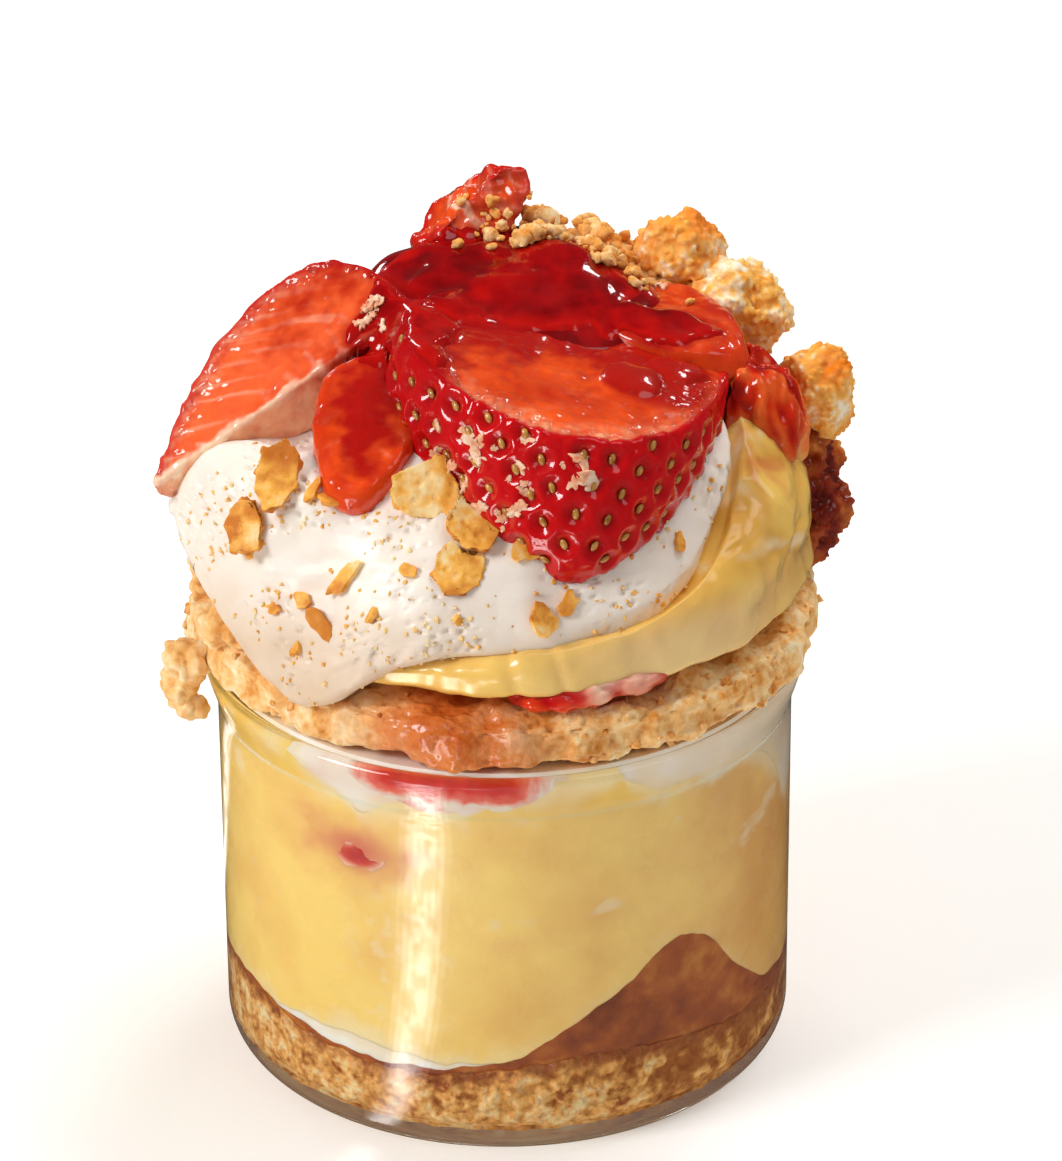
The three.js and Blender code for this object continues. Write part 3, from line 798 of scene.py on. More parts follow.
@dataclass(frozen=True)
class Smooth(Finish):
    """Smooth soft food: custard and cream. Reads stain, shade and mingle from the piece."""

    name: str
    colour: str
    deep: str
    other: str
    stain: str
    rough: float = 0.35
    coat: float = 0.25
    glow: float = 0.3
    radius: Point = (1.0, 0.6, 0.25)
    reach: float = 2.0
    depth: float = 0.06
    grain: float = 2.6
    cloud: float = 7.0
    clouds: Four = (0.35, 0.75, 0.0, 0.3)
    uneven: float = 0.08
    coat_rough: float = 0.1

    def mix(self) -> Material:
        """Builds the material."""
        recipe = Recipe(self.name)
        place = recipe.place()
        film = recipe.use(wet_film(), Vector=place, Grain=self.grain)
        cloud = recipe.span(recipe.noise(place, self.cloud, 4.0), *self.clouds)
        # Random clouds of deeper tone, plus the piece's shade value, which is mostly painted shade.
        share = recipe.maths("ADD", cloud, recipe.attribute("shade"), clamp=True)
        colour = recipe.blend(share, self.colour, self.deep)
        colour = recipe.paint(colour, mingle=self.other, stain=self.stain)
        recipe.put(base_color=colour, coat_weight=self.coat, coat_roughness=self.coat_rough)
        ends = (self.rough - self.uneven, self.rough + self.uneven)
        recipe.put(roughness=recipe.span(film["Gloss"], 0, 1, *ends))
        recipe.glow(self.glow, self.radius, self.reach)
        recipe.relief(film["Ripple"], self.depth)
        return recipe.material


@dataclass(frozen=True)
class Fruit(Finish):
    """Strawberry flesh under its skin. Reads flesh, pale, fibre, film and the seed-dimple value from the
    piece; the dimples get painted shade, and the fibre value also holds a painted highlight along a ridge.
    """

    name: str = "strawberry_flesh"
    skin: str = "cc0a10"
    meat: str = "f75a16"
    heart: str = "ffc494"
    fibre: str = "fdd8b8"
    film: str = "a80308"
    # Painted shade in the dimples round the seeds.
    pit: str = "5e0306"
    ripple: float = 1.8
    fine: float = 1.3
    coarse: float = 4.0
    dullest: float = 0.72
    shine: float = 0.1
    coat_rough: float = 0.05
    rough: Pair = (0.2, 0.36)
    glow: tuple[float, Point, float] = (0.2, (1.0, 0.2, 0.1), 1.5)
    depth: float = 0.11

    def mix(self) -> Material:
        """Builds the material."""
        recipe = Recipe(self.name)
        place = recipe.place()
        film = recipe.use(wet_film(), Vector=place, Grain=self.ripple)
        grains = recipe.span(recipe.noise(place, self.fine), *NARROW, self.dullest)
        mottle = recipe.span(recipe.noise(place, self.coarse), *BROAD, self.dullest)
        flesh = recipe.times(recipe.attribute("flesh"), mottle)
        colour = recipe.blend(flesh, self.skin, self.meat)
        colour = recipe.blend(recipe.times(recipe.attribute("pale"), grains), colour, self.heart)
        colour = recipe.paint(colour, fibre=self.fibre, film=self.film, pit=self.pit)
        recipe.put(base_color=colour, specular_ior_level=self.shine)
        recipe.put(coat_weight=1.0, coat_roughness=self.coat_rough)
        recipe.put(roughness=recipe.span(film["Gloss"], 0, 1, *self.rough))
        recipe.glow(*self.glow)
        recipe.relief(film["Ripple"], self.depth)
        return recipe.material


@dataclass(frozen=True)
class Jelly(Finish):
    """Glossy jam and pulp. Reads thin and custardy from the piece."""

    name: str = "glossy_jam"
    deep: str = "720003"
    middle: str = "960104"
    thin: str = "b80c06"
    edge: str = "a40806"
    custard: str = "e9b878"
    gloss: float = 0.1
    uneven: float = 0.15
    ripple: float = 2.2
    cloud: Triple = (4.0, 5.0, 0.6)
    stops: Four = (0.0, 0.3, 0.7, 1.0)
    shine: float = 0.08
    coat_rough: float = 0.04
    glow: tuple[float, Point, float] = (0.15, (1.0, 0.1, 0.05), 2.0)
    depth: float = 0.1

    def mix(self) -> Material:
        """Builds the material."""
        recipe = Recipe(self.name)
        place = recipe.place()
        film = recipe.use(wet_film(), Vector=place, Grain=self.ripple)
        body = recipe.noise(place, *self.cloud)
        cloud = recipe.span(body, *BROAD, -self.uneven, self.uneven)
        share = recipe.maths("ADD", cloud, recipe.attribute("thin"), clamp=True)
        tones = dict(zip(self.stops, (self.deep, self.middle, self.thin, self.edge)))
        colour = recipe.paint(recipe.ramp(share, tones), custardy=self.custard)
        recipe.put(base_color=colour, specular_ior_level=self.shine)
        recipe.put(coat_weight=1.0, coat_roughness=self.coat_rough)
        recipe.put(roughness=recipe.span(film["Gloss"], 0, 1, self.gloss, self.gloss + self.uneven))
        recipe.glow(*self.glow)
        recipe.relief(film["Ripple"], self.depth)
        return recipe.material


@dataclass(frozen=True)
class SeedCoat(Finish):
    """Shiny golden strawberry seeds."""

    name: str = "seed_coat"
    dark: str = "9a5a1c"
    light: str = "d9a24a"
    cloud: Pair = (1.4, 2.0)
    coat: float = 0.8
    rough: Pair = (0.25, 0.4)

    def mix(self) -> Material:
        """Builds the material."""
        recipe = Recipe(self.name)
        tone = recipe.span(recipe.noise(recipe.place(), *self.cloud), *BROAD)
        recipe.put(base_color=recipe.blend(tone, self.dark, self.light), coat_weight=self.coat)
        recipe.put(roughness=recipe.span(tone, 0, 1, *self.rough))
        return recipe.material


@dataclass(frozen=True)
class Backdrop(Finish):
    """Pale matte floor that glows a little, as lit paper does."""

    name: str = "pale_floor"
    colour: str = "f6f4f1"
    rough: float = 0.9
    glow: float = 0.2

    def mix(self) -> Material:
        """Builds the material."""
        recipe = Recipe(self.name)
        recipe.put(base_color=tint(self.colour), roughness=self.rough)
        recipe.put(emission_color=tint(self.colour), emission_strength=self.glow)
        return recipe.material


GLASS = ClearGlass()
BISCUIT = Crumbly("biscuit_crumb", "9a4a14", "f4ae5c", "ffdea4", grain=1.0, depth=0.5, pores=0.4)
SPONGE = Crumbly("sponge_crumb", "863a0a", "b05816", "d0822e", grain=2.6, depth=0.15, rough=0.6, pores=0.1)
CAKE = Crumbly("cake_crumb", "de9038", "f6c47e", "fde4b6", grain=1.1, depth=0.25, syrup="de7c0c", pores=0.15)
CRUST = Crumbly("baked_crust", "d07618", "fbb850", "ffe4aa", grain=1.6, depth=0.12, rough=0.55, pores=0.1)
CHUNK = Crumbly(
    "biscuit_chunk", "ee8c14", "ffc060", "fff4da",
    grain=1.2, depth=0.2, rough=0.5, pores=0.1, syrup="f2a040",
)
CRUMB = Crumbly("loose_crumb", "d47c28", "f4ac58", "fcd49a", grain=0.8, depth=0.2)
PALE_CRUMB = Crumbly("pale_crumb", "de7e54", "f0b48e", "fadcc2", grain=0.7, depth=0.15, pores=0.1)
CUSTARD = Smooth("smooth_custard", "ffd068", "da9430", "fae6c4", "d2503c", rough=0.24, coat=0.8, glow=0.2)
CREAM = Smooth(
    "whipped_cream", "fbf0e4", "dfbf9c", "f8d090", "e8705c",
    rough=0.45, coat=0.12, glow=0.25, radius=(1, 0.8, 0.6),
)
FRUIT = Fruit()
JELLY = Jelly()
RIM_JAM = Jelly("rim_jam", "bc0a08", "d81c14", "ec6a58", edge="f2dccc")
PULP = Jelly("berry_pulp", "a00a04", "c8280a", "ee6a2a", edge="f6a460", custard="fac874", gloss=0.16)
STICKY = Jelly("sticky_cake", "6a1406", "963010", "c46628", edge="e0a050", gloss=0.3)
SEED = SeedCoat()


def close_tree(maker: Maker, placed: Socket, finish: Socket, result: Socket) -> None:
    """Makes placed bodies plain mesh with their finish, as a tree's result."""
    plain = maker.node("GeometryNodeRealizeInstances", {"Geometry": placed}).outputs["Geometry"]
    painted = maker.node("GeometryNodeSetMaterial", {"Geometry": plain, "Material": finish})
    maker.feed(result, painted.outputs["Geometry"])


def grown(name: str, mesh: Mesh, tree: Tree, slot: Slot, values: dict) -> None:
    """Makes the piece that a Geometry Nodes tree grows on a mesh.

    Args:
        name: the piece's name.
        mesh: what it grows on.
        tree: the tree.
        slot: the record's material slot.
        values: the tree's inputs by name.
    """
    host = hold("host", mesh)
    modifier = host.modifiers.new("grow", "NODES")
    modifier.node_group = tree
    for item in tree.interface.items_tree:
        if item.in_out == "INPUT" and item.name in values:
            modifier[item.identifier] = values[item.name]
    made = settle(host)
    made.shade_smooth()
    enlist(name, made, slot)


@cache
def strewing() -> Tree:
    """Geometry Nodes tree that strews small bodies over a surface where its strew value allows it."""
    sockets = {"Surface": "Geometry", "Density": "Float", "Seed": "Int", "Small": "Float", "Large": "Float"}
    sockets.update({"Bodies": "Collection", "Finish": "Material"})
    maker, given, result = group_of("Strew", "GeometryNodeTree", sockets, {"Strewn": "Geometry"})
    seed = given["Seed"]
    mask = maker.node("GeometryNodeInputNamedAttribute", {"Name": "strew"}, data_type="FLOAT")
    density = maker.times(given["Density"], mask.outputs["Attribute"])
    field = {"Mesh": given["Surface"], "Density": density, "Seed": seed}
    spots = maker.node("GeometryNodeDistributePointsOnFaces", field)
    choice = {"Collection": given["Bodies"], "Separate Children": True, "Reset Children": True}
    bodies = maker.node("GeometryNodeCollectionInfo", choice)
    turns = {"Max": (2 * math.pi,) * 3, "Seed": seed}
    turn = maker.node("FunctionNodeRandomValue", turns, data_type="FLOAT_VECTOR")
    sizes = {2: given["Small"], 3: given["Large"], "Seed": seed}
    size = maker.node("FunctionNodeRandomValue", sizes, data_type="FLOAT")
    places = {"Points": spots.outputs["Points"], "Instance": bodies.outputs[0], "Pick Instance": True}
    places.update({"Rotation": turn.outputs["Value"], "Scale": size.outputs[1]})
    placed = maker.node("GeometryNodeInstanceOnPoints", places)
    close_tree(maker, placed.outputs["Instances"], given["Finish"], result[0])
    return maker.tree


@dataclass(frozen=True)
class Load:
    """Small bodies strewn over a piece: their finish, number for a square millimetre, and sizes."""

    name: str
    finish: Finish
    slot: Slot
    density: float
    small: float
    large: float
    seed: int

    def strew(self, surface: Piece, bodies: bpy.types.Collection) -> None:
        """Strews the load as one piece.

        Args:
            surface: the finished piece that carries it.
            bodies: the bodies that it copies.
        """
        values = {"Density": self.density / MM**2, "Seed": self.seed, "Bodies": bodies}
        values.update({"Small": self.small * MM, "Large": self.large * MM, "Finish": self.finish.material()})
        grown(self.name, surface.data, strewing(), self.slot, values)


CAKE_LOAD = Load("cake_crumbs", CRUMB, Slot.CAKE, 0.05, 0.5, 2.2, 3)
HEAP_LOAD = Load("heap_crumbs", CRUMB, Slot.CAKE, 0.24, 0.8, 3.2, 5)
CREAM_LOAD = Load("cream_specks", CRUST, Slot.CRUST, 0.4, 0.3, 1.0, 7)


@dataclass
class CrumbKinds:
    """Small chipped crumbs of unit size that strewing copies."""

    count: int = 6
    rough: float = 0.3
    swell: float = 0.42
    shifts: float = 90.0
    flat: Pair = (0.5, 0.95)
    chips: int = 5
    chip_at: Pair = (0.2, 0.4)

    @contextmanager
    def collection(self) -> Iterator[bpy.types.Collection]:
        """Collection of the crumbs, which are there only while they are needed."""
        kinds = bpy.data.collections.new("crumb_kinds")
        bpy.context.scene.collection.children.link(kinds)
        draw = np.random.default_rng(self.count)
        for i in range(self.count):
            kinds.objects.link(bpy.data.objects.new(f"crumb_{i}", self.crumb(draw)))
        yield kinds
        for body in list(kinds.objects):
            bpy.data.objects.remove(body)
        bpy.data.collections.remove(kinds)

    def crumb(self, draw: np.random.Generator) -> Mesh:
        """One crumb: a small ball, roughened, chipped flat in places and flattened."""
        skin = Skin.balls([((0, 0, 0), 1.0)], rounds=2)
        skin.push(self.rough * NOISE.soft(skin.points + draw.uniform(0, self.shifts), self.swell))
        points = skin.points
        for way in unit(draw.normal(size=(self.chips, 3))):
            points -= np.outer(np.maximum(points @ way - draw.uniform(*self.chip_at), 0), way)
        skin.points = points * np.array([1, draw.uniform(*self.flat), draw.uniform(*self.flat)])
        return skin.mesh


@dataclass
class GlassJar:
    """Clear jar with a rounded foot, a straight wall and a gently flared lip."""

    radius: float = 40.0
    height: float = 60.5
    wall: float = 2.4
    floor: float = 3.6
    flare: float = 1.9
    flare_height: float = 8.0
    foot_round: float = 4.5
    floor_round: float = 3.2
    segments: int = 256
    arc_steps: int = 14
    wall_steps: int = 24

    def outer(self, z: Array) -> Array:
        """Radius of the outer face at a height."""
        return self.radius + self.flare * Step(self.height - self.flare_height, self.height)(z)

    def inner(self, z: Array) -> Array:
        """Radius of the inner face at a height, rounded into the floor."""
        z = np.asarray(z, float)
        below = np.clip(self.floor + self.floor_round - z, 0, self.floor_round)
        return self.outer(z) - self.wall - self.floor_round + np.sqrt(self.floor_round**2 - below**2)

    def arc(self, x: float, z: float, radius: float, start: float, end: float) -> list[Pair]:
        """Profile points round a centre between two angles."""
        turns = np.radians(np.linspace(start, end, self.arc_steps))
        return [(x + radius * math.cos(t), z + radius * math.sin(t)) for t in turns]

    def profile(self) -> list[Pair]:
        """Radius and height points of the glass, from the middle of the foot to the middle of the floor."""
        lip = self.wall / 2
        heights = np.linspace(self.foot_round, self.height - lip, self.wall_steps)[1:]
        side = [(float(self.outer(z)), z) for z in heights]
        inside = [(r - self.wall, z) for r, z in reversed(side) if z > self.floor + self.floor_round]
        corner = self.radius - self.wall - self.floor_round
        return [
            *self.arc(self.radius - self.foot_round, self.foot_round, self.foot_round, -QUARTER_TURN, 0),
            *side,
            *self.arc(side[-1][0] - lip, self.height - lip, lip, 0, HALF_TURN)[1:-1],
            *inside,
            *self.arc(corner, self.floor + self.floor_round, self.floor_round, 0, -QUARTER_TURN),
        ]

    def build(self) -> None:
        """Makes the glass."""
        angles = full_turn(self.segments)
        rings = [np.column_stack([plan(r, angles), np.full(self.segments, z)]) for r, z in self.profile()]
        skin = Skin.loft(np.array(rings), np.zeros(3), np.array([0, 0, self.floor]))
        skin.dress("jar_glass", GLASS, Slot.GLASS, "glass_jar")


@dataclass(frozen=True)
class Mark:
    """Soft stain on the wall: its angle, height, reach along the wall and up it, and its strength."""

    angle: float
    height: float
    wide: float
    high: float
    strength: float


@dataclass
class JarLayers:
    """Layers inside the glass, each a body that reaches just into the wall."""

    jar: GlassJar
    top: float = 60.7
    sink: float = 0.08
    sectors: int = 600
    row: float = 0.4
    least_rows: int = 4
    least: float = 0.05
    lap: float = 0.1
    crease: float = 60.0
    rings: tuple[float, ...] = (8.0, 18.0, 27.0, 34.0)
    near_wall: Step = Step(14.0, 38.0)
    withdrawn: float = 0.8
    too_thin: Step = Step(0.3, 0.1)
    wobble: Swell = Swell(0.6, 4.0, 3)
    mingling: Swell = Swell(2.4, 6.0, 2)
    mingled_width: Triple = (1.6, 0.3, 5.0)
    mingled_most: float = 0.5

    base: float = 13.4
    foot: float = 2.7
    base_wave: tuple[float, int, float] = (1.5, 4, 70.0)
    base_line: Swell = Swell(0.7, 4.0, 3)
    base_relief: float = 1.0
    grain: float = 1.9
    grain_rise: float = 0.75
    crags: Swell = Swell(0.5, 2.6, 3)
    caramel: Step = Step(2.8, 0.3)
    caramel_syrup: float = 0.3
    patches: Swell = Swell(0.54, 7.0, 2)
    patch_lift: float = 0.072
    pale_patch: Bell = Bell(1.0, -72, 11)
    pale_height: Step = Step(12.0, 8.5)
    pore: Step = Step(0.0, 0.5)
    # Painted shade, browner on the right, and painted light, paler on the front left.
    side_light_and_shade: tuple[Bell, ...] = (Bell(0.5, -30, 28), Bell(-0.5, -140, 34))
    base_toast: tuple[float, ...] = (0.85, 0.5, 1.0, -0.8, 1.0)

    soak: float = 0.8
    soak_rises: tuple[Bell, ...] = (Bell(15.5, -51, 19), Bell(2.0, -76, 10))
    soak_line: Swell = Swell(0.5, 5.0, 3)
    soak_lap: float = 0.3
    soak_relief: float = 0.2
    soak_foot: Step = Step(1.0, 0.2)
    soak_mottle: Swell = Swell(0.4, 6.0, 3)
    soak_toast: Pair = (0.3, 0.5)
    soak_syrup: float = 0.25

    cream_rises: tuple[Bell, ...] = (Bell(2.9, -122, 20),)
    cream_lap: float = 0.3
    cream_line: Swell = Swell(0.3, 3.0, 3)
    upper: float = 0.8
    upper_rises: tuple[Bell, ...] = (
        Bell(6.4, -30, 70), Bell(6.2, -122, 9), Bell(3.4, -101, 12),
        Bell(-3.6, -74, 16), Bell(14.0, -10, 10),
    )
    upper_line: Swell = Swell(1.3, 6.0, 3)
    upper_shade: float = 0.1
    upper_shadow: Bell = Bell(0.6, -15, 42)
    upper_marks: tuple[Mark, ...] = (Mark(-100, 57.5, 14, 3.4, 0.45),)

    wisps: Swell = Swell(1.0, 9.0, 4, stretch=(1, 1, 1.6))
    wisp: Step = Step(0.55, 1.0)
    wisp_most: float = 0.4
    foot_mingled: float = 0.2
    foot_mingling: Bell = Bell(0.8, -122, 30)
    film: Bell = Bell(0.45, -112, 10)
    film_height: Pair = (28.0, 11.0)
    film_patch: Swell = Swell(1.0, 6.0, 2)
    film_step: Step = Step(-0.5, 0.1)
    crackle: Swell = Swell(1.0, 1.8, 2)
    crackle_step: Step = Step(0.0, 0.6)
    custard_clouds: Swell = Swell(0.25, 14.0, 3)
    custard_shadow: Bell = Bell(0.75, -12, 44)
    custard_marks: tuple[Mark, ...] = (
        Mark(-121, 45.4, 8, 3.6, 0.9), Mark(-126, 47.5, 7, 2.0, 0.35), Mark(-89, 33.5, 3.4, 1.5, 0.2),
    )

    def rises(self, x: Array, y: Array, bells: tuple[Bell, ...]) -> Array:
        """Height that local rises add near the wall."""
        angle = bearing(x, y)
        return sum(bell(angle) for bell in bells) * self.near_wall(np.hypot(x, y))

    @staticmethod
    def ragged(x: Array, y: Array, line: Swell) -> Array:
        """Uneven line of a layer."""
        return line(np.column_stack([x, y, np.full_like(x, line.height)]))

    def base_level(self, x: Array, y: Array) -> Array:
        """Mean top of the biscuit base, a wave round the wall."""
        height, count, phase = self.base_wave
        wave = np.cos(np.radians(count * (bearing(x, y) + phase)))
        return self.base + height * np.minimum(np.hypot(x, y) / self.jar.radius, 1) * wave

    def base_top(self, x: Array, y: Array) -> Array:
        """Top of the biscuit base."""
        return self.base_level(x, y) + self.ragged(x, y, self.base_line)

    def soak_top(self, x: Array, y: Array) -> Array:
        """Top of the soaked sponge, which climbs the wall on the right."""
        wedge = self.rises(x, y, self.soak_rises)
        return self.base_level(x, y) + self.soak + wedge + self.ragged(x, y, self.soak_line)

    def cream_top(self, x: Array, y: Array) -> Array:
        """Top of the lower cream, thickest at the front left."""
        rise = self.rises(x, y, self.cream_rises) - self.cream_lap
        return self.soak_top(x, y) + rise + self.ragged(x, y, self.cream_line)

    def cream_foot(self, x: Array, y: Array) -> Array:
        """Underside of the upper cream."""
        depth = self.upper + self.rises(x, y, self.upper_rises)
        return self.top - depth + self.ragged(x, y, self.upper_line)

    def grains(self, points: Array) -> Array:
        """Share that the crumb at points stands out of its pores."""
        return np.clip(self.grain_rise - NOISE.cells(points, self.grain) + self.crags(points), 0, 1)

    def body(self, low: Height, high: Height, relief: float = 0.0) -> Skin:
        """Closed body between two heights that fills the jar.

        Args:
            low: height of its underside over plan points.
            high: height of its upper side over plan points.
            relief: how far its grains press into the wall.

        Returns:
            The body's skin.
        """
        angles = full_turn(self.sectors)
        rim = plan(self.jar.radius - self.jar.wall, angles)
        start = low(*rim.T)
        end = np.maximum(high(*rim.T), start + self.least)
        wall = []
        for share in np.linspace(0, 1, max(self.least_rows, int((end - start).max() / self.row))):
            z = start + (end - start) * share
            radius = self.jar.inner(np.maximum(z, self.jar.floor)) + self.sink
            radius = radius - self.withdrawn * self.too_thin(end - start)
            out = relief * self.grains(np.column_stack([plan(radius, angles), z]))
            wall.append(np.column_stack([plan(radius + out, angles), z]))
        inner = [plan(r, angles) for r in self.rings]
        floor = [np.column_stack([spot, np.minimum(low(*spot.T), high(*spot.T))]) for spot in inner]
        roof = [np.column_stack([spot, high(*spot.T)]) for spot in reversed(inner)]
        poles = floor[0].mean(axis=0), roof[-1].mean(axis=0)
        return Skin.loft(np.array([*floor, *wall, *roof]), *poles).crisp(self.crease)

    def build(self) -> None:
        """Makes the layers from the floor up."""
        self.build_base()
        self.build_sponge()
        self.build_creams()
        self.build_custard()

    def build_base(self) -> None:
        """Makes the crumb base, caramel-brown towards its top and pale in one patch, with painted shade in
        its pores, painted shade on its right and painted light on its front left.
        """
        skin = self.body(lambda x, y: np.full_like(x, self.foot), self.base_top, self.base_relief)
        x, y, z = skin.points.T
        angle = bearing(x, y)
        near_top = self.caramel(self.base_top(x, y) - z)
        # Painted shade: browner in the pores between the grains.
        pores = 1 - self.pore(self.grains(skin.points))
        patchy = self.patch_lift + self.patches(skin.points)
        pale = self.pale_patch(angle) * self.pale_height(z)
        sides = sum(bell(angle) for bell in self.side_light_and_shade)
        toast = mixed(self.base_toast, near_top, pores, patchy, pale, sides)
        skin.tag(toast=toast, syrup=self.caramel_syrup * near_top)
        skin.dress("biscuit_base_layer", BISCUIT, Slot.BISCUIT, "biscuit_base")

    def build_sponge(self) -> None:
        """Makes the soaked sponge, with a paler line along its foot."""
        skin = self.body(lambda x, y: self.base_top(x, y) - self.soak_lap, self.soak_top, self.soak_relief)
        x, y, z = skin.points.T
        toast, paler = self.soak_toast
        toast = toast + self.soak_mottle(skin.points) - paler * self.soak_foot(z - self.base_top(x, y))
        skin.tag(syrup=self.soak_syrup, toast=np.clip(toast, 0, 1))
        skin.dress("soaked_sponge_layer", SPONGE, Slot.SOAKED, "soaked_sponge")

    def mingled(self, points: Array, gap: Array) -> Array:
        """How far two soft layers run into each other at a gap from their common line."""
        mean, least, most = self.mingled_width
        width = np.clip(mean + self.mingling(points), least, most)
        return self.mingled_most * np.exp(-((gap / width) ** 2))

    def build_creams(self) -> None:
        """Makes the thin lower cream and the upper cream, stained by the jam in it."""
        lower = self.body(lambda x, y: self.soak_top(x, y) - self.lap, self.cream_top)
        x, y, z = lower.points.T
        lower.tag(mingle=self.mingled(lower.points, self.cream_top(x, y) - z))
        lower.dress("cream_lower_layer", CREAM, Slot.CREAM, "cream_lower")
        upper = self.body(lambda x, y: self.cream_foot(x, y) - self.lap, self.cream_head)
        x, y, z = upper.points.T
        self.stain(upper, self.upper_marks)
        upper.tag(mingle=self.mingled(upper.points, z - self.cream_foot(x, y)))
        upper.tag(shade=self.upper_shade + self.upper_shadow(bearing(x, y)))
        upper.dress("cream_upper_layer", CREAM, Slot.CREAM, "cream_upper")

    def cream_head(self, x: Array, y: Array) -> Array:
        """Upper side of the upper cream."""
        return np.full_like(x, self.top)

    def custard_foot(self, x: Array, y: Array) -> Array:
        """Underside of the custard."""
        return np.maximum(self.cream_top(x, y), self.soak_top(x, y)) - self.lap

    def build_custard(self) -> None:
        """Makes the custard, with pale wisps and a stain round the sunk strawberry."""
        skin = self.body(self.custard_foot, self.cream_foot)
        points = skin.points
        x, y, z = points.T
        angle = bearing(x, y)
        above = self.mingled(points, self.cream_foot(x, y) - z)
        foot = self.foot_mingled + self.foot_mingling(angle)
        below = self.mingled(points, z - self.cream_top(x, y)) * foot
        wisps = self.wisp_most * self.wisp(self.wisps(points))
        middle, reach = self.film_height
        band = np.exp(-(((z - middle) / reach) ** 2))
        film = self.film(angle) * band * self.film_step(self.film_patch(points))
        crackle = film * self.crackle_step(self.crackle(points))
        self.stain(skin, self.custard_marks)
        skin.tag(mingle=np.max([above, below, wisps, crackle], axis=0))
        skin.tag(shade=self.custard_clouds(points) + self.custard_shadow(angle))
        skin.dress("custard_layer", CUSTARD, Slot.CUSTARD, "custard_fill")

    def stain(self, skin: Skin, marks: tuple[Mark, ...]) -> None:
        """Tags soft stains on the wall.

        Args:
            skin: the layer.
            marks: its stains.
        """
        x, y, z = skin.points.T
        angle = bearing(x, y)
        wobble = 1 + self.wobble(skin.points)
        total = np.zeros_like(z)
        for mark in marks:
            along = np.radians(angle - mark.angle) * self.jar.radius / mark.wide
            apart = along**2 + ((z - mark.height) / mark.high) ** 2
            total = np.maximum(total, mark.strength * np.exp(-apart * wobble))
        skin.tag(stain=np.clip(total, 0, 1))


@dataclass
class SunkStrawberry:
    """Piece of strawberry that shows through the glass, ragged and pressed flat against it."""

    jar: GlassJar
    node: str = "strawberry_sunk"
    voxel: float = 0.3
    ease: int = 4
    press: float = 0.16
    ragged: Swell = Swell(1.6, 5.0, 3)
    shrink: float = 0.16
    near: Step = Step(-1.6, -0.5)
    edge: Step = Step(0.5, 1.2)
    film: float = 0.7
    fibre: float = 0.8
    fibre_edge: Step = Step(0.4, 1.0)

    def build(self) -> None:
        """Makes the piece."""
        skin = Skin.of_node(self.node, self.voxel, self.ease)
        middle = skin.points.mean(axis=0)
        skin.push(self.ragged(skin.points) - self.shrink)
        points = skin.points
        radius = np.hypot(points[:, 0], points[:, 1])
        wall = self.jar.inner(points[:, 2])
        near = self.near(radius - wall)
        points[:, :2] *= (1 + near * (wall + self.press - radius) / radius)[:, None]
        skin.points = points
        reach = np.abs(points - middle) / np.abs(points - middle).max(axis=0)
        edge = self.edge(np.linalg.norm(reach, axis=1))
        skin.tag(film=self.film * (1 - edge), flesh=edge, fibre=self.fibre * self.fibre_edge(edge))
        skin.dress("strawberry_in_custard", FRUIT, Slot.BERRY, self.node)


@dataclass
class RimJam:
    """Lens of jam on the glass under the rim, deep red along its top and run out into the cream below."""

    jar: GlassJar
    node: str = "jam_under_rim"
    angle: float = -101.0
    level: float = 59.2
    wide: float = 16.5
    above: float = 1.2
    below: float = 5.8
    thick: float = 4.0
    press: float = 0.16
    pressed: int = 6
    blunt: float = 0.01
    waves: tuple[Pair, ...] = ((4.3, 0.16), (9.1, 0.1), (19.0, 0.05))
    sectors: int = 240
    steps: int = 36
    streaks: Swell = Swell(1.0, 2.6, 3, stretch=(1, 1, 0.4))
    streaky: Pair = (1.3, 0.15)
    fade: Step = Step(60.0, 55.2)
    fade_out: Step = Step(0.3, 0.95)

    def hang(self, along: Array) -> Array:
        """How far the lens hangs down at a share of its width."""
        waves = sum(size * np.sin(turn * along + turn) for turn, size in self.waves)
        return self.below * (1 + waves) * np.sqrt(np.maximum(1 - along**2, self.blunt))

    def ring(self, share: float, offset: float) -> Array:
        """Points at a share of the way to the wavy line, at an offset from the wall."""
        turns = np.linspace(0, 2 * math.pi, self.sectors, endpoint=False)
        along = share * np.cos(turns)
        rise = share * np.sin(turns)
        z = self.level + np.where(rise > 0, self.above, self.hang(along)) * rise
        angle = self.angle + np.degrees(along * self.wide / self.jar.radius)
        return np.column_stack([plan(self.jar.inner(z) + offset, angle), z])

    def build(self) -> None:
        """Makes the jam."""
        shares = np.sin(np.linspace(0, math.pi / 2, self.steps)[1:])
        rings = [self.ring(s, -self.thick * math.sqrt(1 - s**2)) for s in shares]
        rings += [self.ring(s, self.press * (1 - s**self.pressed)) for s in reversed(shares[:-1])]
        poles = self.ring(0.0, -self.thick)[0], self.ring(0.0, self.press)[0]
        skin = Skin.loft(np.array(rings), *poles)
        x, y, z = skin.points.T
        along = np.radians(bearing(x, y) - self.angle) * self.jar.radius / self.wide
        rise = (z - self.level) / np.where(z > self.level, self.above, self.hang(along))
        streaks = self.streaks(skin.points)
        low, thin = self.streaky
        run_out = np.maximum(self.fade(z + low * streaks), self.fade_out(np.hypot(along, rise)))
        skin.tag(thin=np.clip(run_out + thin * streaks, 0, 1))
        skin.dress("jam_at_rim", RIM_JAM, Slot.JAM, self.node)


@dataclass(frozen=True)
class Form:
    """Value over plan points: a level, slopes along x and y, bells round angles and an oval's swing."""

    level: float
    slope: Pair = (0.0, 0.0)
    bells: tuple[Bell, ...] = ()
    oval: float = 0.0

    def __call__(self, x: Array, y: Array, angle: Array) -> Array:
        """The value at points and their angles."""
        swing = self.oval * np.cos(np.radians(2 * angle)) + sum(bell(angle) for bell in self.bells)
        return self.level + self.slope[0] * x + self.slope[1] * y + swing


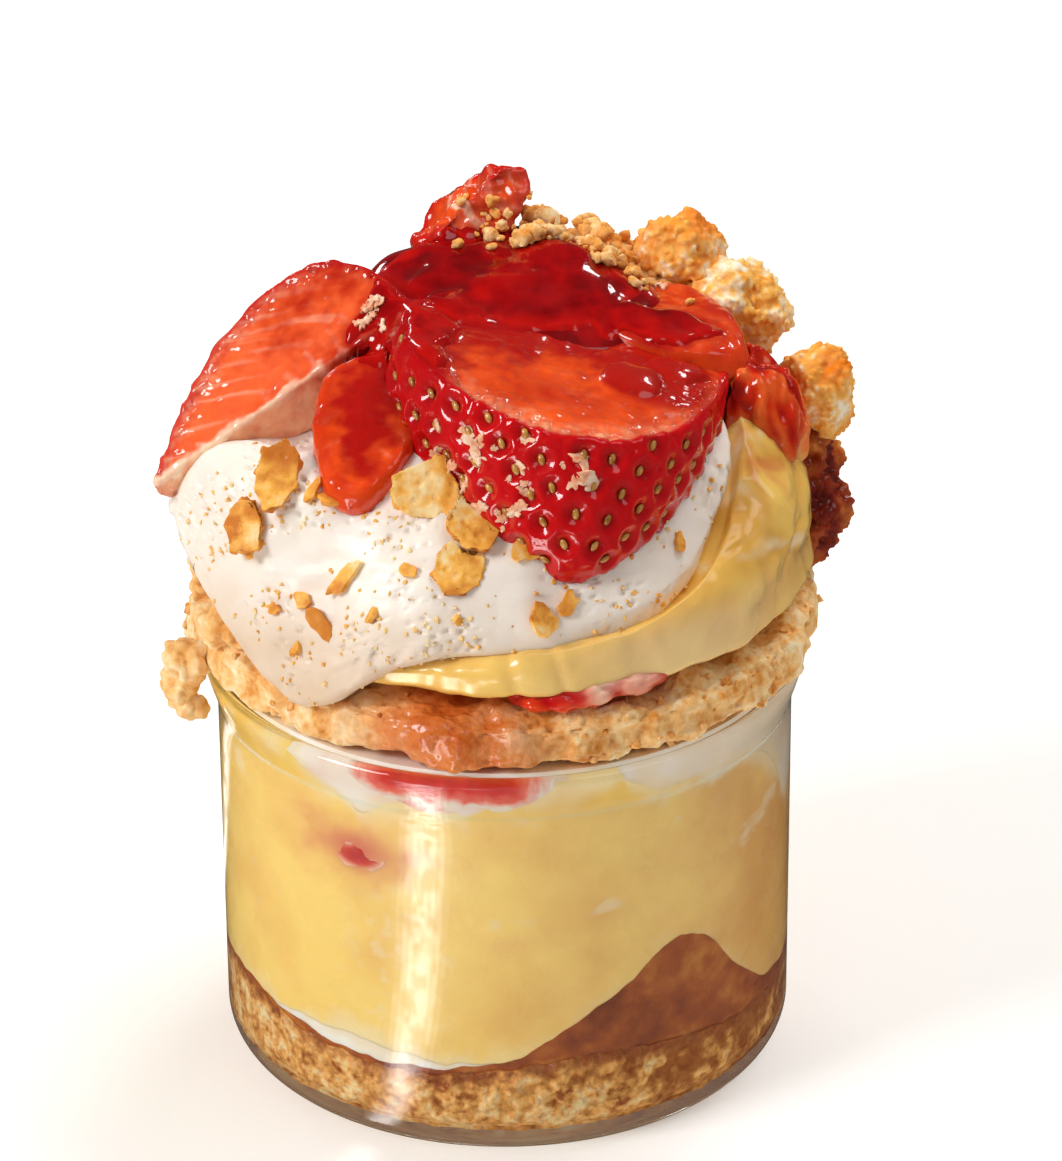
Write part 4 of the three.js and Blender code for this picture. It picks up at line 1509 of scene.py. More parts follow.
@dataclass
class Pebble:
    """Rounded body over a closed outline, with heights that swell from its edge line."""

    outline: Form
    top: Form
    edge: Form
    bottom: Form
    sectors: int = 420
    steps_above: int = 90
    steps_below: int = 26
    power: float = 4.0
    fall: float = 4.0
    inside: float = 0.0
    centre: Pair = (0.0, 0.0)

    def reach(self, angle: Array) -> Array:
        """Outline radius at an angle."""
        return self.outline(0.0, 0.0, angle)

    def crown(self, x: Array, y: Array, angle: Array) -> Array:
        """Height of the middle of the upper side."""
        return self.top(x, y, angle)

    @staticmethod
    def swell(share: Array, power: float) -> Array:
        """Rise of a rounded side at a share of the reach."""
        return np.maximum(0, 1 - share**power) ** (1 / power)

    def rise(self, share: Array, angle: Array) -> Array:
        """Rise of the upper side at a share of the reach."""
        return self.swell(share, self.power)

    def ring(self, share: float, angle: Array, above: bool) -> Array:
        """Points of the body at a share of its reach, on its upper side or underside."""
        spot = plan(share * self.reach(angle), angle) + np.array(self.centre)
        x, y = spot.T
        line = self.edge(x, y, angle)
        if above:
            z = line + (self.crown(x, y, angle) - line) * self.rise(share, angle)
        else:
            z = line + (self.bottom(x, y, angle) - line) * self.swell(share, self.fall)
        return np.column_stack([spot, z])

    def skin(self) -> Skin:
        """Closed skin of the body."""
        angles = full_turn(self.sectors)
        even = np.linspace(0, 1, self.steps_below + 1)[1:]
        below = self.inside + (1 - self.inside) * np.sin(even * math.pi / 2) ** (2 / self.fall)
        turns = np.linspace(0, 1, self.steps_above + 1)[1:-1]
        above = self.inside + (1 - self.inside) * np.cos(turns * math.pi / 2) ** (2 / self.power)
        rings = [self.ring(share, angles, False) for share in below]
        rings += [self.ring(share, angles, True) for share in above]
        poles = [self.ring(0.0, np.zeros(1), side)[0] for side in (False, True)]
        return Skin.loft(np.array(rings), *poles)


@dataclass
class CakeRing(Pebble):
    """Ring of cake that rests on the rim, smoother and paler on the left, syrupy at the front."""

    outline: Form = Form(42.0, bells=(Bell(-1.6, -130, 22),), oval=1.2)
    top: Form = Form(70.3, (0.0, 0.03))
    edge: Form = Form(65.5)
    bottom: Form = Form(60.6)
    power: float = 5.0
    fall: float = 7.0
    sectors: int = 740
    steps_above: int = 64
    steps_below: int = 70
    inside: float = 0.72
    calm: Bell = Bell(1.0, -168, 42)
    syrup: Bell = Bell(1.25, -102, 17)
    syrup_edge: Swell = Swell(0.4, 6.0, 3)
    syrup_end: Bell = Bell(1.0, -102, 32)
    closed: Pair = (0.7, 0.6)
    lumps: Swell = Swell(1.3, 7.5, 3)
    flakes: Triple = (1.1, 0.45, 4.2)
    flake_stretch: Point = (1.0, 1.0, 1.5)
    pores: Dots = Dots(1.5, Step(0.42, 0.12), 31)
    pore_depth: float = 0.55
    grit: Swell = Swell(0.28, 1.4, 3, 9)
    # Painted shade in the recesses between lumps and flakes.
    recess_shade: Step = Step(0.1, -1.1)
    streaks: Swell = Swell(1.0, 6.0, 3, 60, (1, 1, 0.7))
    streak: Step = Step(0.05, 0.8)
    toast: tuple[float, ...] = (0.5, 0.3, 0.15, 0.25)
    strewn: Pair = (0.6, 0.05)

    risers: tuple[float, float, int] = (-199.0, -158.0, 3)
    riser_at: Triple = (39.5, 70.6, 8.4)
    clump: tuple[float, float, int] = (-164.0, -174.0, 6)
    clump_at: Triple = (44.4, 63.2, 6.4)
    clump_step: Pair = (2.1, 0.5)
    clump_out: Pair = (-0.7, 1.2)
    clump_side: Pair = (-2.0, 2.0)
    lump_mesh: tuple[float, int] = (0.3, 2)
    lump_crags: Swell = Swell(1.1, 3.6, 3)
    lump_flakes: Triple = (1.4, 0.42, 1.9)
    lump_patches: Swell = Swell(0.5, 5.0, 2)
    lump_toast: Pair = (0.25, 0.25)

    @staticmethod
    def flaky(points: Array, flakes: Triple) -> Array:
        """Height of crumbled flakes, given their height, level and size."""
        height, level, size = flakes
        return height * (level - NOISE.cells(points, size))

    def build(self) -> Piece:
        """Makes the ring and the lumps on it.

        Returns:
            The finished ring.
        """
        self.build_lumps()
        skin = self.skin()
        points = skin.points
        angle = bearing(points[:, 0], points[:, 1])
        calm = self.calm(angle)
        wet = np.clip(self.syrup(angle) + self.syrup_edge(points), 0, 1) * self.syrup_end(angle)
        open_crumb = (1 - self.closed[0] * calm) * (1 - self.closed[1] * wet)
        lumps = self.lumps(points)
        flakes = self.flaky(points * np.array(self.flake_stretch), self.flakes) * open_crumb
        pores = self.pores(points) * open_crumb
        skin.push(lumps + flakes - self.pore_depth * pores + self.grit(points) * open_crumb)
        streaks = self.streak(self.streaks(points))
        # Toasted streaks and syrup, with painted shade in the recesses and pores.
        toast = mixed(self.toast, streaks, self.recess_shade(lumps + flakes), pores, wet)
        less, least = self.strewn
        skin.tag(syrup=wet, toast=toast, strew=np.clip(1 - wet - less * calm, least, 1))
        return skin.dress("cake_ring_crumb", CAKE, Slot.CAKE, "cake_ring")

    def build_lumps(self) -> None:
        """Makes the lumps that rise from the ring and the clump that hangs over the glass, on the left."""
        radius, height, size = self.riser_at
        balls = [((*plan(radius, angle), height), size) for angle in np.linspace(*self.risers)]
        draw = np.random.default_rng(self.clump[2])
        radius, height, size = self.clump_at
        sink, shrink = self.clump_step
        for i, angle in enumerate(np.linspace(*self.clump)):
            out = radius + draw.uniform(*self.clump_out)
            spot = (*plan(out, angle + draw.uniform(*self.clump_side)), height - sink * i)
            balls.append((spot, size - shrink * i))
        skin = Skin.balls(balls).remesh(*self.lump_mesh)
        points = skin.points
        crags = self.lump_crags(points) + self.flaky(points, self.lump_flakes)
        skin.push(crags)
        # Toast patches with painted shade: browner where the crags sink, paler where they stand out.
        base, less = self.lump_toast
        skin.tag(toast=np.clip(base + self.lump_patches(points) - less * crags, 0, 1), strew=1.0)
        skin.dress("cake_ring_lumps", CAKE, Slot.CAKE, "cake_ring")


@dataclass
class CustardCrown(Pebble):
    """Custard over the cake, with a creased lip and soft folds on its higher right side."""

    outline: Form = Form(38.3, bells=(Bell(2.8, -5, 40), Bell(-1.0, 180, 50)))
    top: Form = Form(84.0, (0.3, 0.12))
    edge: Form = Form(74.5, (0.0, 0.03))
    bottom: Form = Form(69.7, (0.0, 0.03))
    fall: float = 3.0
    steps_above: int = 150
    centre: Pair = (1.0, 0.0)
    lobes: Four = (0.7, 4.5, 24.0, 0.45)
    bulge: Four = (31.0, -7.0, 10.0, 6.5)
    creases: tuple[Bell, ...] = (
        Bell(0.35, -87.5, 1.6), Bell(0.35, -78.0, 1.2), Bell(0.2, -99, 1.8), Bell(0.3, -60, 2.4),
    )
    crease_lean: Pair = (0.35, 72.0)
    crease_end: Step = Step(88, 80)
    tucked: float = 2.2
    tuck_free: Pair = (1.02, 60.0)
    tuck_side: Bell = Bell(1.0, -12, 45)
    side: Bell = Bell(1.0, -14, 48)
    folded: Step = Step(71, 77)
    sway: Swell = Swell(4.0, 12.0, 2)
    fold: Triple = (2.6, 0.42, 9.0)
    fold_stretch: Point = (1.0, 1.0, 0.6)
    small: Swell = Swell(0.45, 4.6, 2, 17)
    fold_sink: float = 0.5
    soft: tuple[Swell, Swell] = (Swell(0.5, 9.0, 2), Swell(0.07, 2.6, 2))
    # Painted shade in the hollows of the folds and along the creases.
    deep: Step = Step(0.2, -1.4)
    painted_shade_share: Pair = (0.6, 0.3)
    swirls: Swell = Swell(1.0, 9.0, 3, stretch=(1, 1, 1.8))
    swirl: Step = Step(0.2, 0.8)
    swirl_most: float = 0.6
    # Painted light: the custard made paler low down on the front right, where the lamps leave it darker.
    pale: Bell = Bell(0.4, -52, 28)
    painted_light_low: Step = Step(83, 76)
    streaks: Swell = Swell(1.0, 3.6, 2, stretch=(1, 1, 0.3))
    streak: Step = Step(0.0, 0.7)
    blush: Bell = Bell(0.6, -12, 15)
    blush_high: Step = Step(83, 92)

    def tuck(self, points: Array, cream: "CreamDollop") -> Array:
        """Points kept below the lip of the cream that lies on the custard."""
        x, y = (points[:, :2] - np.array(cream.centre)).T
        angle = bearing(x, y)
        share = np.hypot(x, y) / cream.reach(angle)
        start, slope = self.tuck_free
        limit = cream.edge(x, y, angle) - self.tucked + slope * np.maximum(share - start, 0)
        over = np.maximum(points[:, 2] - limit, 0) * self.tuck_side(angle)
        return points - np.outer(over, np.array([0, 0, 1]))

    def reach(self, angle: Array) -> Array:
        """Outline radius at an angle, with lobes."""
        height, count, phase, power = self.lobes
        lobe = np.abs(np.cos(np.radians(count * angle + phase))) ** power
        return super().reach(angle) + height * lobe

    def crown(self, x: Array, y: Array, angle: Array) -> Array:
        """Height of the middle of the upper side, with a bulge under the pulp."""
        at_x, at_y, wide, rise = self.bulge
        return self.top(x, y, angle) + rise * np.exp(-(((x - at_x) ** 2 + (y - at_y) ** 2) / wide**2))

    def build(self, cream: "CreamDollop") -> None:
        """Makes the crown.

        Args:
            cream: the cream that lies on it.
        """
        skin = self.skin()
        points = skin.points
        z = points[:, 2]
        angle = bearing(points[:, 0], points[:, 1])
        side = self.side(angle)
        right = side * self.folded(z)
        swayed = bent(points, self.sway)
        height, level, size = self.fold
        lumps = height * (level - NOISE.cells(swayed * np.array(self.fold_stretch), size))
        folds = lumps + self.small(swayed) - self.fold_sink
        lean, start = self.crease_lean
        lines = sum(crease(angle + lean * (z - start)) for crease in self.creases)
        soft = sum(swell(points) for swell in self.soft)
        skin.push(soft + right * folds - lines * self.crease_end(z))
        skin.points = self.tuck(skin.points, cream)
        # Painted shade: deeper in the fold hollows on the right and in the crease lines.
        shade = mixed(self.painted_shade_share, self.deep(folds) * right, lines)
        swirl = self.swirl_most * side * self.swirl(self.swirls(swayed))
        # Pale swirls, and painted light low on the front right.
        swirl = np.maximum(swirl, self.pale(angle) * self.painted_light_low(z))
        blush = self.blush(angle) * self.blush_high(z) * self.streak(self.streaks(swayed))
        skin.tag(shade=shade, mingle=swirl, stain=blush)
        skin.dress("custard_crown_lip", CUSTARD, Slot.CUSTARD, "custard_crown")


@dataclass
class CreamDollop(Pebble):
    """Cream over the front and left of the custard, with a rolled edge and fine pores."""

    outline: Form = Form(32.2, bells=(Bell(2, 174, 14), Bell(-5, -152, 30)), oval=5.8)
    top: Form = Form(99.5)
    RAISED: ClassVar[tuple[Bell, ...]] = (
        Bell(17, 12, 30), Bell(6, 178, 10), Bell(8, 95, 45), Bell(-10, -135, 24),
    )
    edge: Form = Form(79.0, bells=RAISED)
    bottom: Form = Form(74.0, bells=RAISED)
    power: float = 6.0
    fall: float = 3.0
    centre: Pair = (-8.0, -11.0)
    steps_above: int = 150
    rolled: float = 0.13
    dome: float = 2.2
    dome_left: Bell = Bell(4.0, 180, 45)
    dents: tuple[Four, ...] = ((-18.0, -22.0, 2.2, 8.0), (-28.0, -5.0, 6.5, 12.0))
    folds: Swell = Swell(0.9, 13.0, 2)
    creases: Swell = Swell(0.3, 7.0, 1, 5)
    strokes: Swell = Swell(0.22, 2.4, 1, stretch=(0.3, 1, 1))
    patches: Swell = Swell(1.0, 10.0, 2)
    patch: Step = Step(-0.2, 0.3)
    pores: Dots = Dots(1.4, Step(0.45, 0.1))
    pore_depth: float = 0.6
    front: Step = Step(8, 20)
    above: Step = Step(66, 72)
    strewn: float = 0.15
    low: Step = Step(86, 70)
    shade: float = 0.75
    lit: Bell = Bell(0.7, -18, 40)

    def rise(self, share: Array, angle: Array) -> Array:
        """Rise of the upper side: a dome over a rolled lip."""
        dome = 1 - share ** (self.dome + self.dome_left(angle))
        return self.rolled * super().rise(share, angle) + (1 - self.rolled) * dome

    def shaded(self, points: Array) -> Array:
        """Painted shade: how much warmer and deeper the cream's tone is made low down, and less on the
        right.
        """
        right = self.lit(bearing(points[:, 0], points[:, 1]))
        return self.shade * self.low(points[:, 2]) * (1 - right)

    def build(self) -> Piece:
        """Makes the dollop, pressed in under the slices that lie on it.

        Returns:
            The finished piece.
        """
        skin = self.skin()
        points = skin.points
        folds = self.folds(points) + np.abs(self.creases(points)) + self.strokes(points)
        patch = self.patch(self.patches(points))
        pores = self.pore_depth * patch * self.pores(points)
        pressed = np.zeros(len(points))
        for x, y, depth, reach in self.dents:
            pressed += depth * np.exp(-((points[:, :2] - np.array([x, y])) ** 2).sum(axis=1) / reach**2)
        skin.push(folds - pores - pressed)
        front = self.front(-points[:, 1]) * self.above(points[:, 2])
        skin.tag(strew=front * np.clip(self.strewn + patch, 0, 1), shade=self.shaded(points))
        return skin.dress("cream_dollop_top", CREAM, Slot.CREAM, "cream_dollop")


@dataclass(frozen=True)
class Cut:
    """Flat cut through a point, with the direction that is cut away and how pale its face is."""

    through: Point
    outward: Point
    pale: float = 0.0

    def away(self, points: Array) -> Array:
        """Distance of points from the cut, towards what is cut away."""
        return (points - np.array(self.through)) @ unit(np.array(self.outward))


@dataclass(frozen=True)
class JamField:
    """Where jam lies on the fruit: ovals in plan that run out unevenly, and rounded drops of a height."""

    pools: tuple[Four, ...] = (
        (0.5, 9.8, 20.0, 12.0), (-14.5, 0.0, 7.0, 8.5), (-9.5, -9.0, 3.4, 9.5), (20.0, 3.0, 10.0, 5.0),
    )
    drops: tuple[tuple[Four, float], ...] = (
        ((20.5, -8.5, 9.0, 9.5), 0.9), ((17.0, -11.0, 4.5, 4.2), 1.1), ((23.5, -6.0, 3.6, 3.6), 0.7),
    )
    wander: Swell = Swell(2.2, 7.0, 3)
    other_way: float = 50.0
    drop_calm: float = 0.4
    clouds: tuple[Swell, Swell] = (Swell(0.55, 8.0, 3), Swell(0.3, 1.8, 2))
    film_step: Step = Step(-1.5, 0.1)
    film_most: float = 0.95

    def reach(self, x: Array, y: Array, ovals: tuple[Four, ...], calm: float = 1.0) -> Array:
        """How deep plan points lie in ovals.

        Args:
            x: first coordinates.
            y: second coordinates.
            ovals: middle, half width and half depth of each.
            calm: how unevenly their lines run.

        Returns:
            One in a middle, nought at a line and less outside.
        """
        spot = np.column_stack([x.ravel(), y.ravel(), np.zeros(x.size)])
        x = x + calm * self.wander(spot).reshape(x.shape)
        y = y + calm * self.wander(spot + self.other_way).reshape(x.shape)
        return np.max([1 - np.hypot((x - a) / wide, (y - b) / deep) for a, b, wide, deep in ovals], axis=0)

    def depth(self, x: Array, y: Array) -> Array:
        """How deep plan points lie in the pools."""
        return self.reach(x, y, self.pools)

    def film(self, points: Array, dry: float) -> Array:
        """Share of jam's colour on fruit at points, strongest in the pools.

        Args:
            points: rows of x, y, z.
            dry: how far the jam stays back on this fruit.

        Returns:
            One share a point.
        """
        clouds = sum(cloud(points) for cloud in self.clouds)
        return self.film_most * self.film_step(self.depth(points[:, 0], points[:, 1]) + clouds - dry)

    def drop(self, points: Array) -> Array:
        """Height of rounded drops of jam at points."""
        total = np.zeros(len(points))
        for oval, height in self.drops:
            out = 1 - self.reach(points[:, 0], points[:, 1], (oval,), self.drop_calm)
            total += height * np.sqrt(np.maximum(1 - out**2, 0))
        return total


JAM_FIELD = JamField()


@cache
def sowing() -> Tree:
    """Geometry Nodes tree that sets one seed on each point."""
    sockets = {"Places": "Geometry", "Size": "Vector", "Finish": "Material"}
    maker, given, result = group_of("Sow seeds", "GeometryNodeTree", sockets, {"Seeds": "Geometry"})
    ways = {}
    for i, name in enumerate(("facing", "along")):
        way = maker.node("GeometryNodeInputNamedAttribute", {"Name": name}, data_type="FLOAT_VECTOR")
        ways[i] = way.outputs["Attribute"]
    turn = maker.node("FunctionNodeAxesToRotation", ways, primary_axis="Z", secondary_axis="X")
    seed = maker.node("GeometryNodeMeshIcoSphere", {"Radius": 0.5, "Subdivisions": 2})
    places = {"Points": given["Places"], "Instance": seed.outputs["Mesh"]}
    places.update({"Rotation": turn.outputs[0], "Scale": given["Size"]})
    placed = maker.node("GeometryNodeInstanceOnPoints", places)
    close_tree(maker, placed.outputs["Instances"], given["Finish"], result[0])
    return maker.tree


@dataclass
class SeedBed:
    """Seeds set at places with an outward direction each, all pointing one way."""

    places: Array
    facing: Array
    along: Array
    size: Point = (1.6, 0.95, 0.7)

    def build(self, name: str) -> None:
        """Makes the seeds as one piece."""
        mesh = bpy.data.meshes.new("places")
        mesh.from_pydata((self.places * MM).tolist(), [], [])
        ways = {"facing": self.facing, "along": np.broadcast_to(self.along, self.places.shape)}
        for key, value in ways.items():
            layer = mesh.attributes.new(key, "FLOAT_VECTOR", "POINT")
            layer.data.foreach_set("vector", np.ascontiguousarray(value, np.float32).ravel())
        values = {"Size": [v * MM for v in self.size], "Finish": SEED.material()}
        grown(name, mesh, sowing(), Slot.BERRY, values)


@dataclass
class Strawberry:
    """Cut strawberry from its stem end to its tip."""

    node: str
    stem: Point
    tip: Point
    width: float
    cuts: tuple[Cut, ...]
    film: float = 0.3
    strands: float = 0.5
    rim: float = 0.0
    # Strength of the pale ridge line, pale fibre with a painted highlight.
    ridge_fibre_and_sheen: float = 0.0
    rough: float = 0.25
    fade: float = 1.8
    ease: int = 3
    blush: float = 0.0
    dry: float = 0.0
    least: float = 0.0
    core: float = 0.0
    dripped: float = 0.0
    edge_span: Step = Step(4.0, 14.0)
    seeded: bool = True
    fullness: float = 0.62

    voxel: float = 0.3
    turns: int = 120
    rows: int = 90
    shoulder: float = 0.62
    row: float = 3.9
    gap: float = 4.6
    jitter: float = 0.18
    clear: float = 0.9
    seeds_between: tuple[float, float, int] = (0.02, 0.985, 400)
    fewest: int = 3
    seed_sunk: float = 0.3

    fibre_lean: Point = (1.1, 9.0, 0.16)
    fibre_grain: Swell = Swell(1.0, 1.7, 2)
    fibre_step: Step = Step(0.15, 0.9)
    fibre_start: Step = Step(0.02, 0.12)
    rim_edge: Swell = Swell(1.6, 3.0, 3)
    rim_start: Step = Step(0.2, 0.9)
    rim_end: Step = Step(5.0, 0.8)
    beads: Dots = Dots(1.3, Step(0.75, 0.25))
    bead_least: float = 0.35
    on_cut: Step = Step(-0.5, -0.15)
    peel_edge: Swell = Swell(0.5, 2.4, 2)
    peel_step: Step = Step(1.1, 0.25)
    # Reach, depth and painted shade of the dimple round each seed.
    pit: Triple = (1.0, 0.62, 0.45)
    pillow: Triple = (2.2, 0.9, 0.42)
    ridge_edge: Swell = Swell(0.8, 2.0, 2)
    ridge_step: Step = Step(1.2, 0.2)
    level: Step = Step(0.5, 0.8)
    upright: Step = Step(0.7, 0.2)
    film_clouds: Swell = Swell(0.45, 7.0, 3)
    film_most: float = 0.8
    drop_film: float = 0.93
    drop_edge: Step = Step(0.0, 0.7)
    drop_calm: Step = Step(2.0, 0.0)
    core_edge: Swell = Swell(2.0, 3.4, 3)
    core_step: Step = Step(-0.3, 3.8)
    skin_dry: float = 0.6
    bumpy: Step = Step(5.0, 1.0)
    bumpy_rim: Step = Step(0.0, 0.3)
    bumps: Pair = (0.1, 0.4)
    bump_grain: Swell = Swell(1.0, 1.6, 2)
    waves: Swell = Swell(1.0, 5.0, 3)
    strand_height: float = 0.15
    skin_deep: float = 0.2

    def __post_init__(self) -> None:
        """Works out the length and the directions along and across."""
        self.start = np.array(self.stem, float)
        run = np.array(self.tip, float) - self.start
        self.length = float(np.linalg.norm(run))
        self.axis = run / self.length
        self.across = unit(np.cross(self.axis, np.array([0.0, 0.0, 1.0])))
        self.third = np.cross(self.axis, self.across)

    def profile(self, share: Array) -> Array:
        """Radius at a share of the length."""
        wave = np.sin(math.pi * np.clip(share, 0, 1) ** self.shoulder)
        return self.width / 2 * np.maximum(wave, 0) ** self.fullness

    def spot(self, share: Array, turn: Array) -> Array:
        """Points of the skin at shares of the length and turns in radians."""
        out = np.cos(turn)[..., None] * self.across + np.sin(turn)[..., None] * self.third
        core = self.start + np.multiply.outer(share * self.length, self.axis)
        return core + self.profile(share)[..., None] * out

    def whole(self) -> Skin:
        """Skin of the uncut strawberry."""
        turns = np.linspace(0, 2 * math.pi, self.turns, endpoint=False)
        shares = (1 - np.cos(np.linspace(0, math.pi, self.rows + 2)[1:-1])) / 2
        rings = np.array([self.spot(np.full_like(turns, s), turns) for s in shares])
        return Skin.loft(rings, self.start, np.array(self.tip, float))

    def lattice(self) -> Array:
        """Seed places in staggered rows over the skin that is left."""
        shares = np.linspace(*self.seeds_between)
        line = np.column_stack([shares * self.length, self.profile(shares)])
        run = np.append(0, np.cumsum(np.linalg.norm(np.diff(line, axis=0), axis=1)))
        draw = np.random.default_rng(len(self.node))
        places = []
        for i, mark in enumerate(np.arange(self.row, run[-1], self.row)):
            share = float(np.interp(mark, run, shares))
            round_it = 2 * math.pi * float(self.profile(np.array(share)))
            count = max(self.fewest, round(round_it / self.gap))
            order = np.arange(count) + 0.5 * (i % 2) + draw.uniform(-self.jitter, self.jitter, count)
            places.append(self.spot(np.full(count, share), order * 2 * math.pi / count))
        found = np.vstack(places)
        for cut in self.cuts:
            found = found[cut.away(found) < -self.clear]
        return found

    def fibres(self, along: Array, across: Array, points: Array) -> Array:
        """Pale strands that run from the core out towards the tip.

        Args:
            along: distance of the points along the axis.
            across: distance of the points from the axis.
            points: rows of x, y, z.

        Returns:
            Strength of the strands a point.
        """
        lean, apart, stretch = self.fibre_lean
        side = np.sign((points - self.start) @ self.across)
        line = np.column_stack([along - lean * across, apart * side, stretch * across])
        strands = self.fibre_step(self.fibre_grain(line))
        return self.strands * strands * self.fibre_start(across / self.width)

    def ridge_fibre_and_highlight(self, points: Array) -> Array:
        """Pale line along the ridge between the first two cuts: pale fibre with a painted highlight."""
        apart = sum(np.abs(cut.away(points)) for cut in self.cuts[:2])
        return self.ridge_fibre_and_sheen * self.ridge_step(apart + self.ridge_edge(points))

    def faces(self, points: Array, depth: Array) -> Array:
        """Paleness of the cut faces, and of a rim inside the skin."""
        beads = self.bead_least + (1 - self.bead_least) * self.beads(points)
        rim = self.rim_start(depth) * self.rim_end(depth + self.rim_edge(points))
        pale = self.rim * beads * rim * self.edge_span(-points[:, 1])
        for cut in self.cuts:
            pale = np.maximum(pale, cut.pale * self.on_cut(cut.away(points)))
        return pale

    def filmed(self, points: Array, depth: Array, drop: Array) -> Array:
        """Share of jam's colour at points, before the skin sheds some of it."""
        film = np.clip(self.film + self.film_clouds(points), 0, self.film_most)
        dripped = self.drop_film * self.drop_edge(drop)
        core = self.core * self.core_step(depth + self.core_edge(points))
        return np.max([film, JAM_FIELD.film(points, self.dry), dripped, core], axis=0)

    def build(self) -> Piece:
        """Makes the strawberry and its seeds.

        Returns:
            The finished strawberry.
        """
        skin = self.whole().trim(self.cuts).remesh(self.voxel, self.ease)
        points = skin.points
        facing = skin.normals[:, 2]
        reach = points - self.start
        along = reach @ self.axis
        across = np.linalg.norm(reach - np.outer(along, self.axis), axis=1)
        depth = np.maximum(self.profile(along / self.length) - across, 0)
        peel = self.peel_step(depth + self.peel_edge(points))
        places = self.lattice() if self.seeded else np.empty((0, 3))
        nearest = np.full(len(points), np.inf)
        for place in places:
            nearest = np.minimum(nearest, np.linalg.norm(points - place, axis=1))
        # Dimples round the seeds, pressed in and darkened with painted shade.
        pit_reach, pit_depth, pit_tone = self.pit
        pit = np.exp(-((nearest / pit_reach) ** 2)) * peel
        ring, wide, height = self.pillow
        pillow = np.exp(-(((nearest - ring) / wide) ** 2)) * peel
        # Pale strands, and the ridge line, which is pale fibre with a painted highlight.
        strands = np.maximum(self.fibres(along, across, points) * (1 - peel), self.ridge_fibre_and_highlight(points))
        drop = self.dripped * JAM_FIELD.drop(points) * self.level(facing)
        film = self.filmed(points, depth, drop) * (1 - self.skin_dry * peel * self.upright(facing))
        rim = self.bumpy(depth) * (1 - peel) * self.bumpy_rim(self.rim)
        bumps = (self.bumps[0] + self.bumps[1] * rim) * (1 - peel) * self.bump_grain(points)
        wave = (self.rough * self.waves(points) + bumps) * self.drop_calm(drop) + drop
        skin.push(height * pillow - pit_depth * pit + wave + self.strand_height * strands)
        end = Step(1.0, 1.0 - self.blush)(along / self.length) if self.blush else 1.0
        flesh = np.maximum(Step(self.skin_deep, self.fade)(depth) * end, self.least)
        pale = self.faces(points, depth) * (1 - film) * end
        skin.tag(flesh=flesh, pale=pale, fibre=strands * (1 - film), film=film, pit=pit_tone * pit)
        piece = skin.dress(self.node + "_fruit", FRUIT, Slot.BERRY, self.node)
        if self.seeded:
            self.sow(places)
        return piece

    def sow(self, places: Array) -> None:
        """Lays the seeds in their dimples, pointing at the tip.

        Args:
            places: seed places on the skin.
        """
        reach = places - self.start
        along = reach @ self.axis
        out = unit(reach - np.outer(along, self.axis))
        ends = [self.profile((along + half) / self.length) for half in (0.5, -0.5)]
        facing = unit(out - (ends[0] - ends[1])[:, None] * self.axis)
        SeedBed(places - self.seed_sunk * facing, facing, self.axis).build(self.node + "_seeds")


BERRIES = (
    Strawberry(
        "strawberry_centre", (6, 11, 106.5), (9.6, -33, 87.2), 46,
        (Cut((12.9, -22.7, 104.2), (0.2, -0.054, 0.978)), Cut((8, -20, 86), (0, 0.25, -1))),
        film=0.24, strands=0.04, rim=0.75, dripped=1.0,
    ),
    Strawberry(
        "strawberry_left", (-15, 8.8, 108.7), (-46.4, -15.4, 86.2), 27,
        (
            Cut((-30, -5, 99.5), (-0.33, -0.5, 0.8), 0.1),
            Cut((-30, -5, 99.5), (0.4, -0.9, -0.2), 1.0),
            Cut((-34, 2, 93), (0.2, 0.4, -0.9)),
        ),
        # Its rim: real bumps along the skin edge, and pale beads there that are painted glints.
        film=-0.15, strands=0.3, rim=0.35, ridge_fibre_and_sheen=0.9, fade=3.4, blush=0.16, dry=0.55,
        edge_span=Step(-20, -10),
    ),
    Strawberry(
        "strawberry_tongue", (-16, -3, 103), (-20, -24.8, 92.6), 15.5,
        (Cut((-18.6, -14.8, 100.2), (-0.06, -0.41, 0.91)), Cut((-18.3, -12.1, 93.9), (0.06, 0.41, -0.91))),
        film=0.2, strands=0.12, rough=0.5, ease=60, dry=0.5, least=0.7, core=0.95,
        seeded=False, fullness=0.42,
    ),
    Strawberry(
        "strawberry_right", (16.5, 12, 105.5), (33, -2, 100), 19,
        (Cut((23, 5, 106), (0.12, -0.08, 1)), Cut((23, 5, 100.5), (-0.12, 0.08, -1))),
        film=0.4, strands=0.1, ease=50, dry=0.5, least=0.75, seeded=False,
    ),
    Strawberry(
        "strawberry_peak", (-10.5, 24, 107), (3.6, 26, 119.6), 12,
        (Cut((-3, 21, 113), (0.25, -0.85, 0.35), 0.12), Cut((-7, 24, 114.4), (-0.63, 0, 0.775))),
        film=0.25, strands=0.9, rough=1.2, dry=1.0, least=0.15, seeded=False,
    ),
)


@dataclass
class JamPool(Pebble):
    """Dark jam pooled between the strawberries."""

    LOBES: ClassVar[tuple[Bell, ...]] = (
        Bell(3.5, 0, 35), Bell(2, 180, 30), Bell(5, -118, 28), Bell(3, -160, 18),
    )
    outline: Form = Form(18.4, bells=LOBES)
    top: Form = Form(108.0, (0.0, 0.2))
    edge: Form = Form(101.0, (0.0, 0.3))
    bottom: Form = Form(94.0)
    power: float = 2.6
    fall: float = 3.0
    centre: Pair = (0.0, 9.0)
    sectors: int = 260
    wave: Swell = Swell(1.0, 12.0, 2)
    thin: float = 0.1
    clouds: Swell = Swell(0.5, 6.0, 2, 40)

    def build(self) -> Piece:
        """Makes the jam.

        Returns:
            The finished piece.
        """
        skin = self.skin()
        points = skin.points
        skin.push(self.wave(points))
        skin.tag(thin=np.clip(self.thin + self.clouds(points), 0, 1))
        return skin.dress("jam_pool", JELLY, Slot.JAM, "jam_glaze")


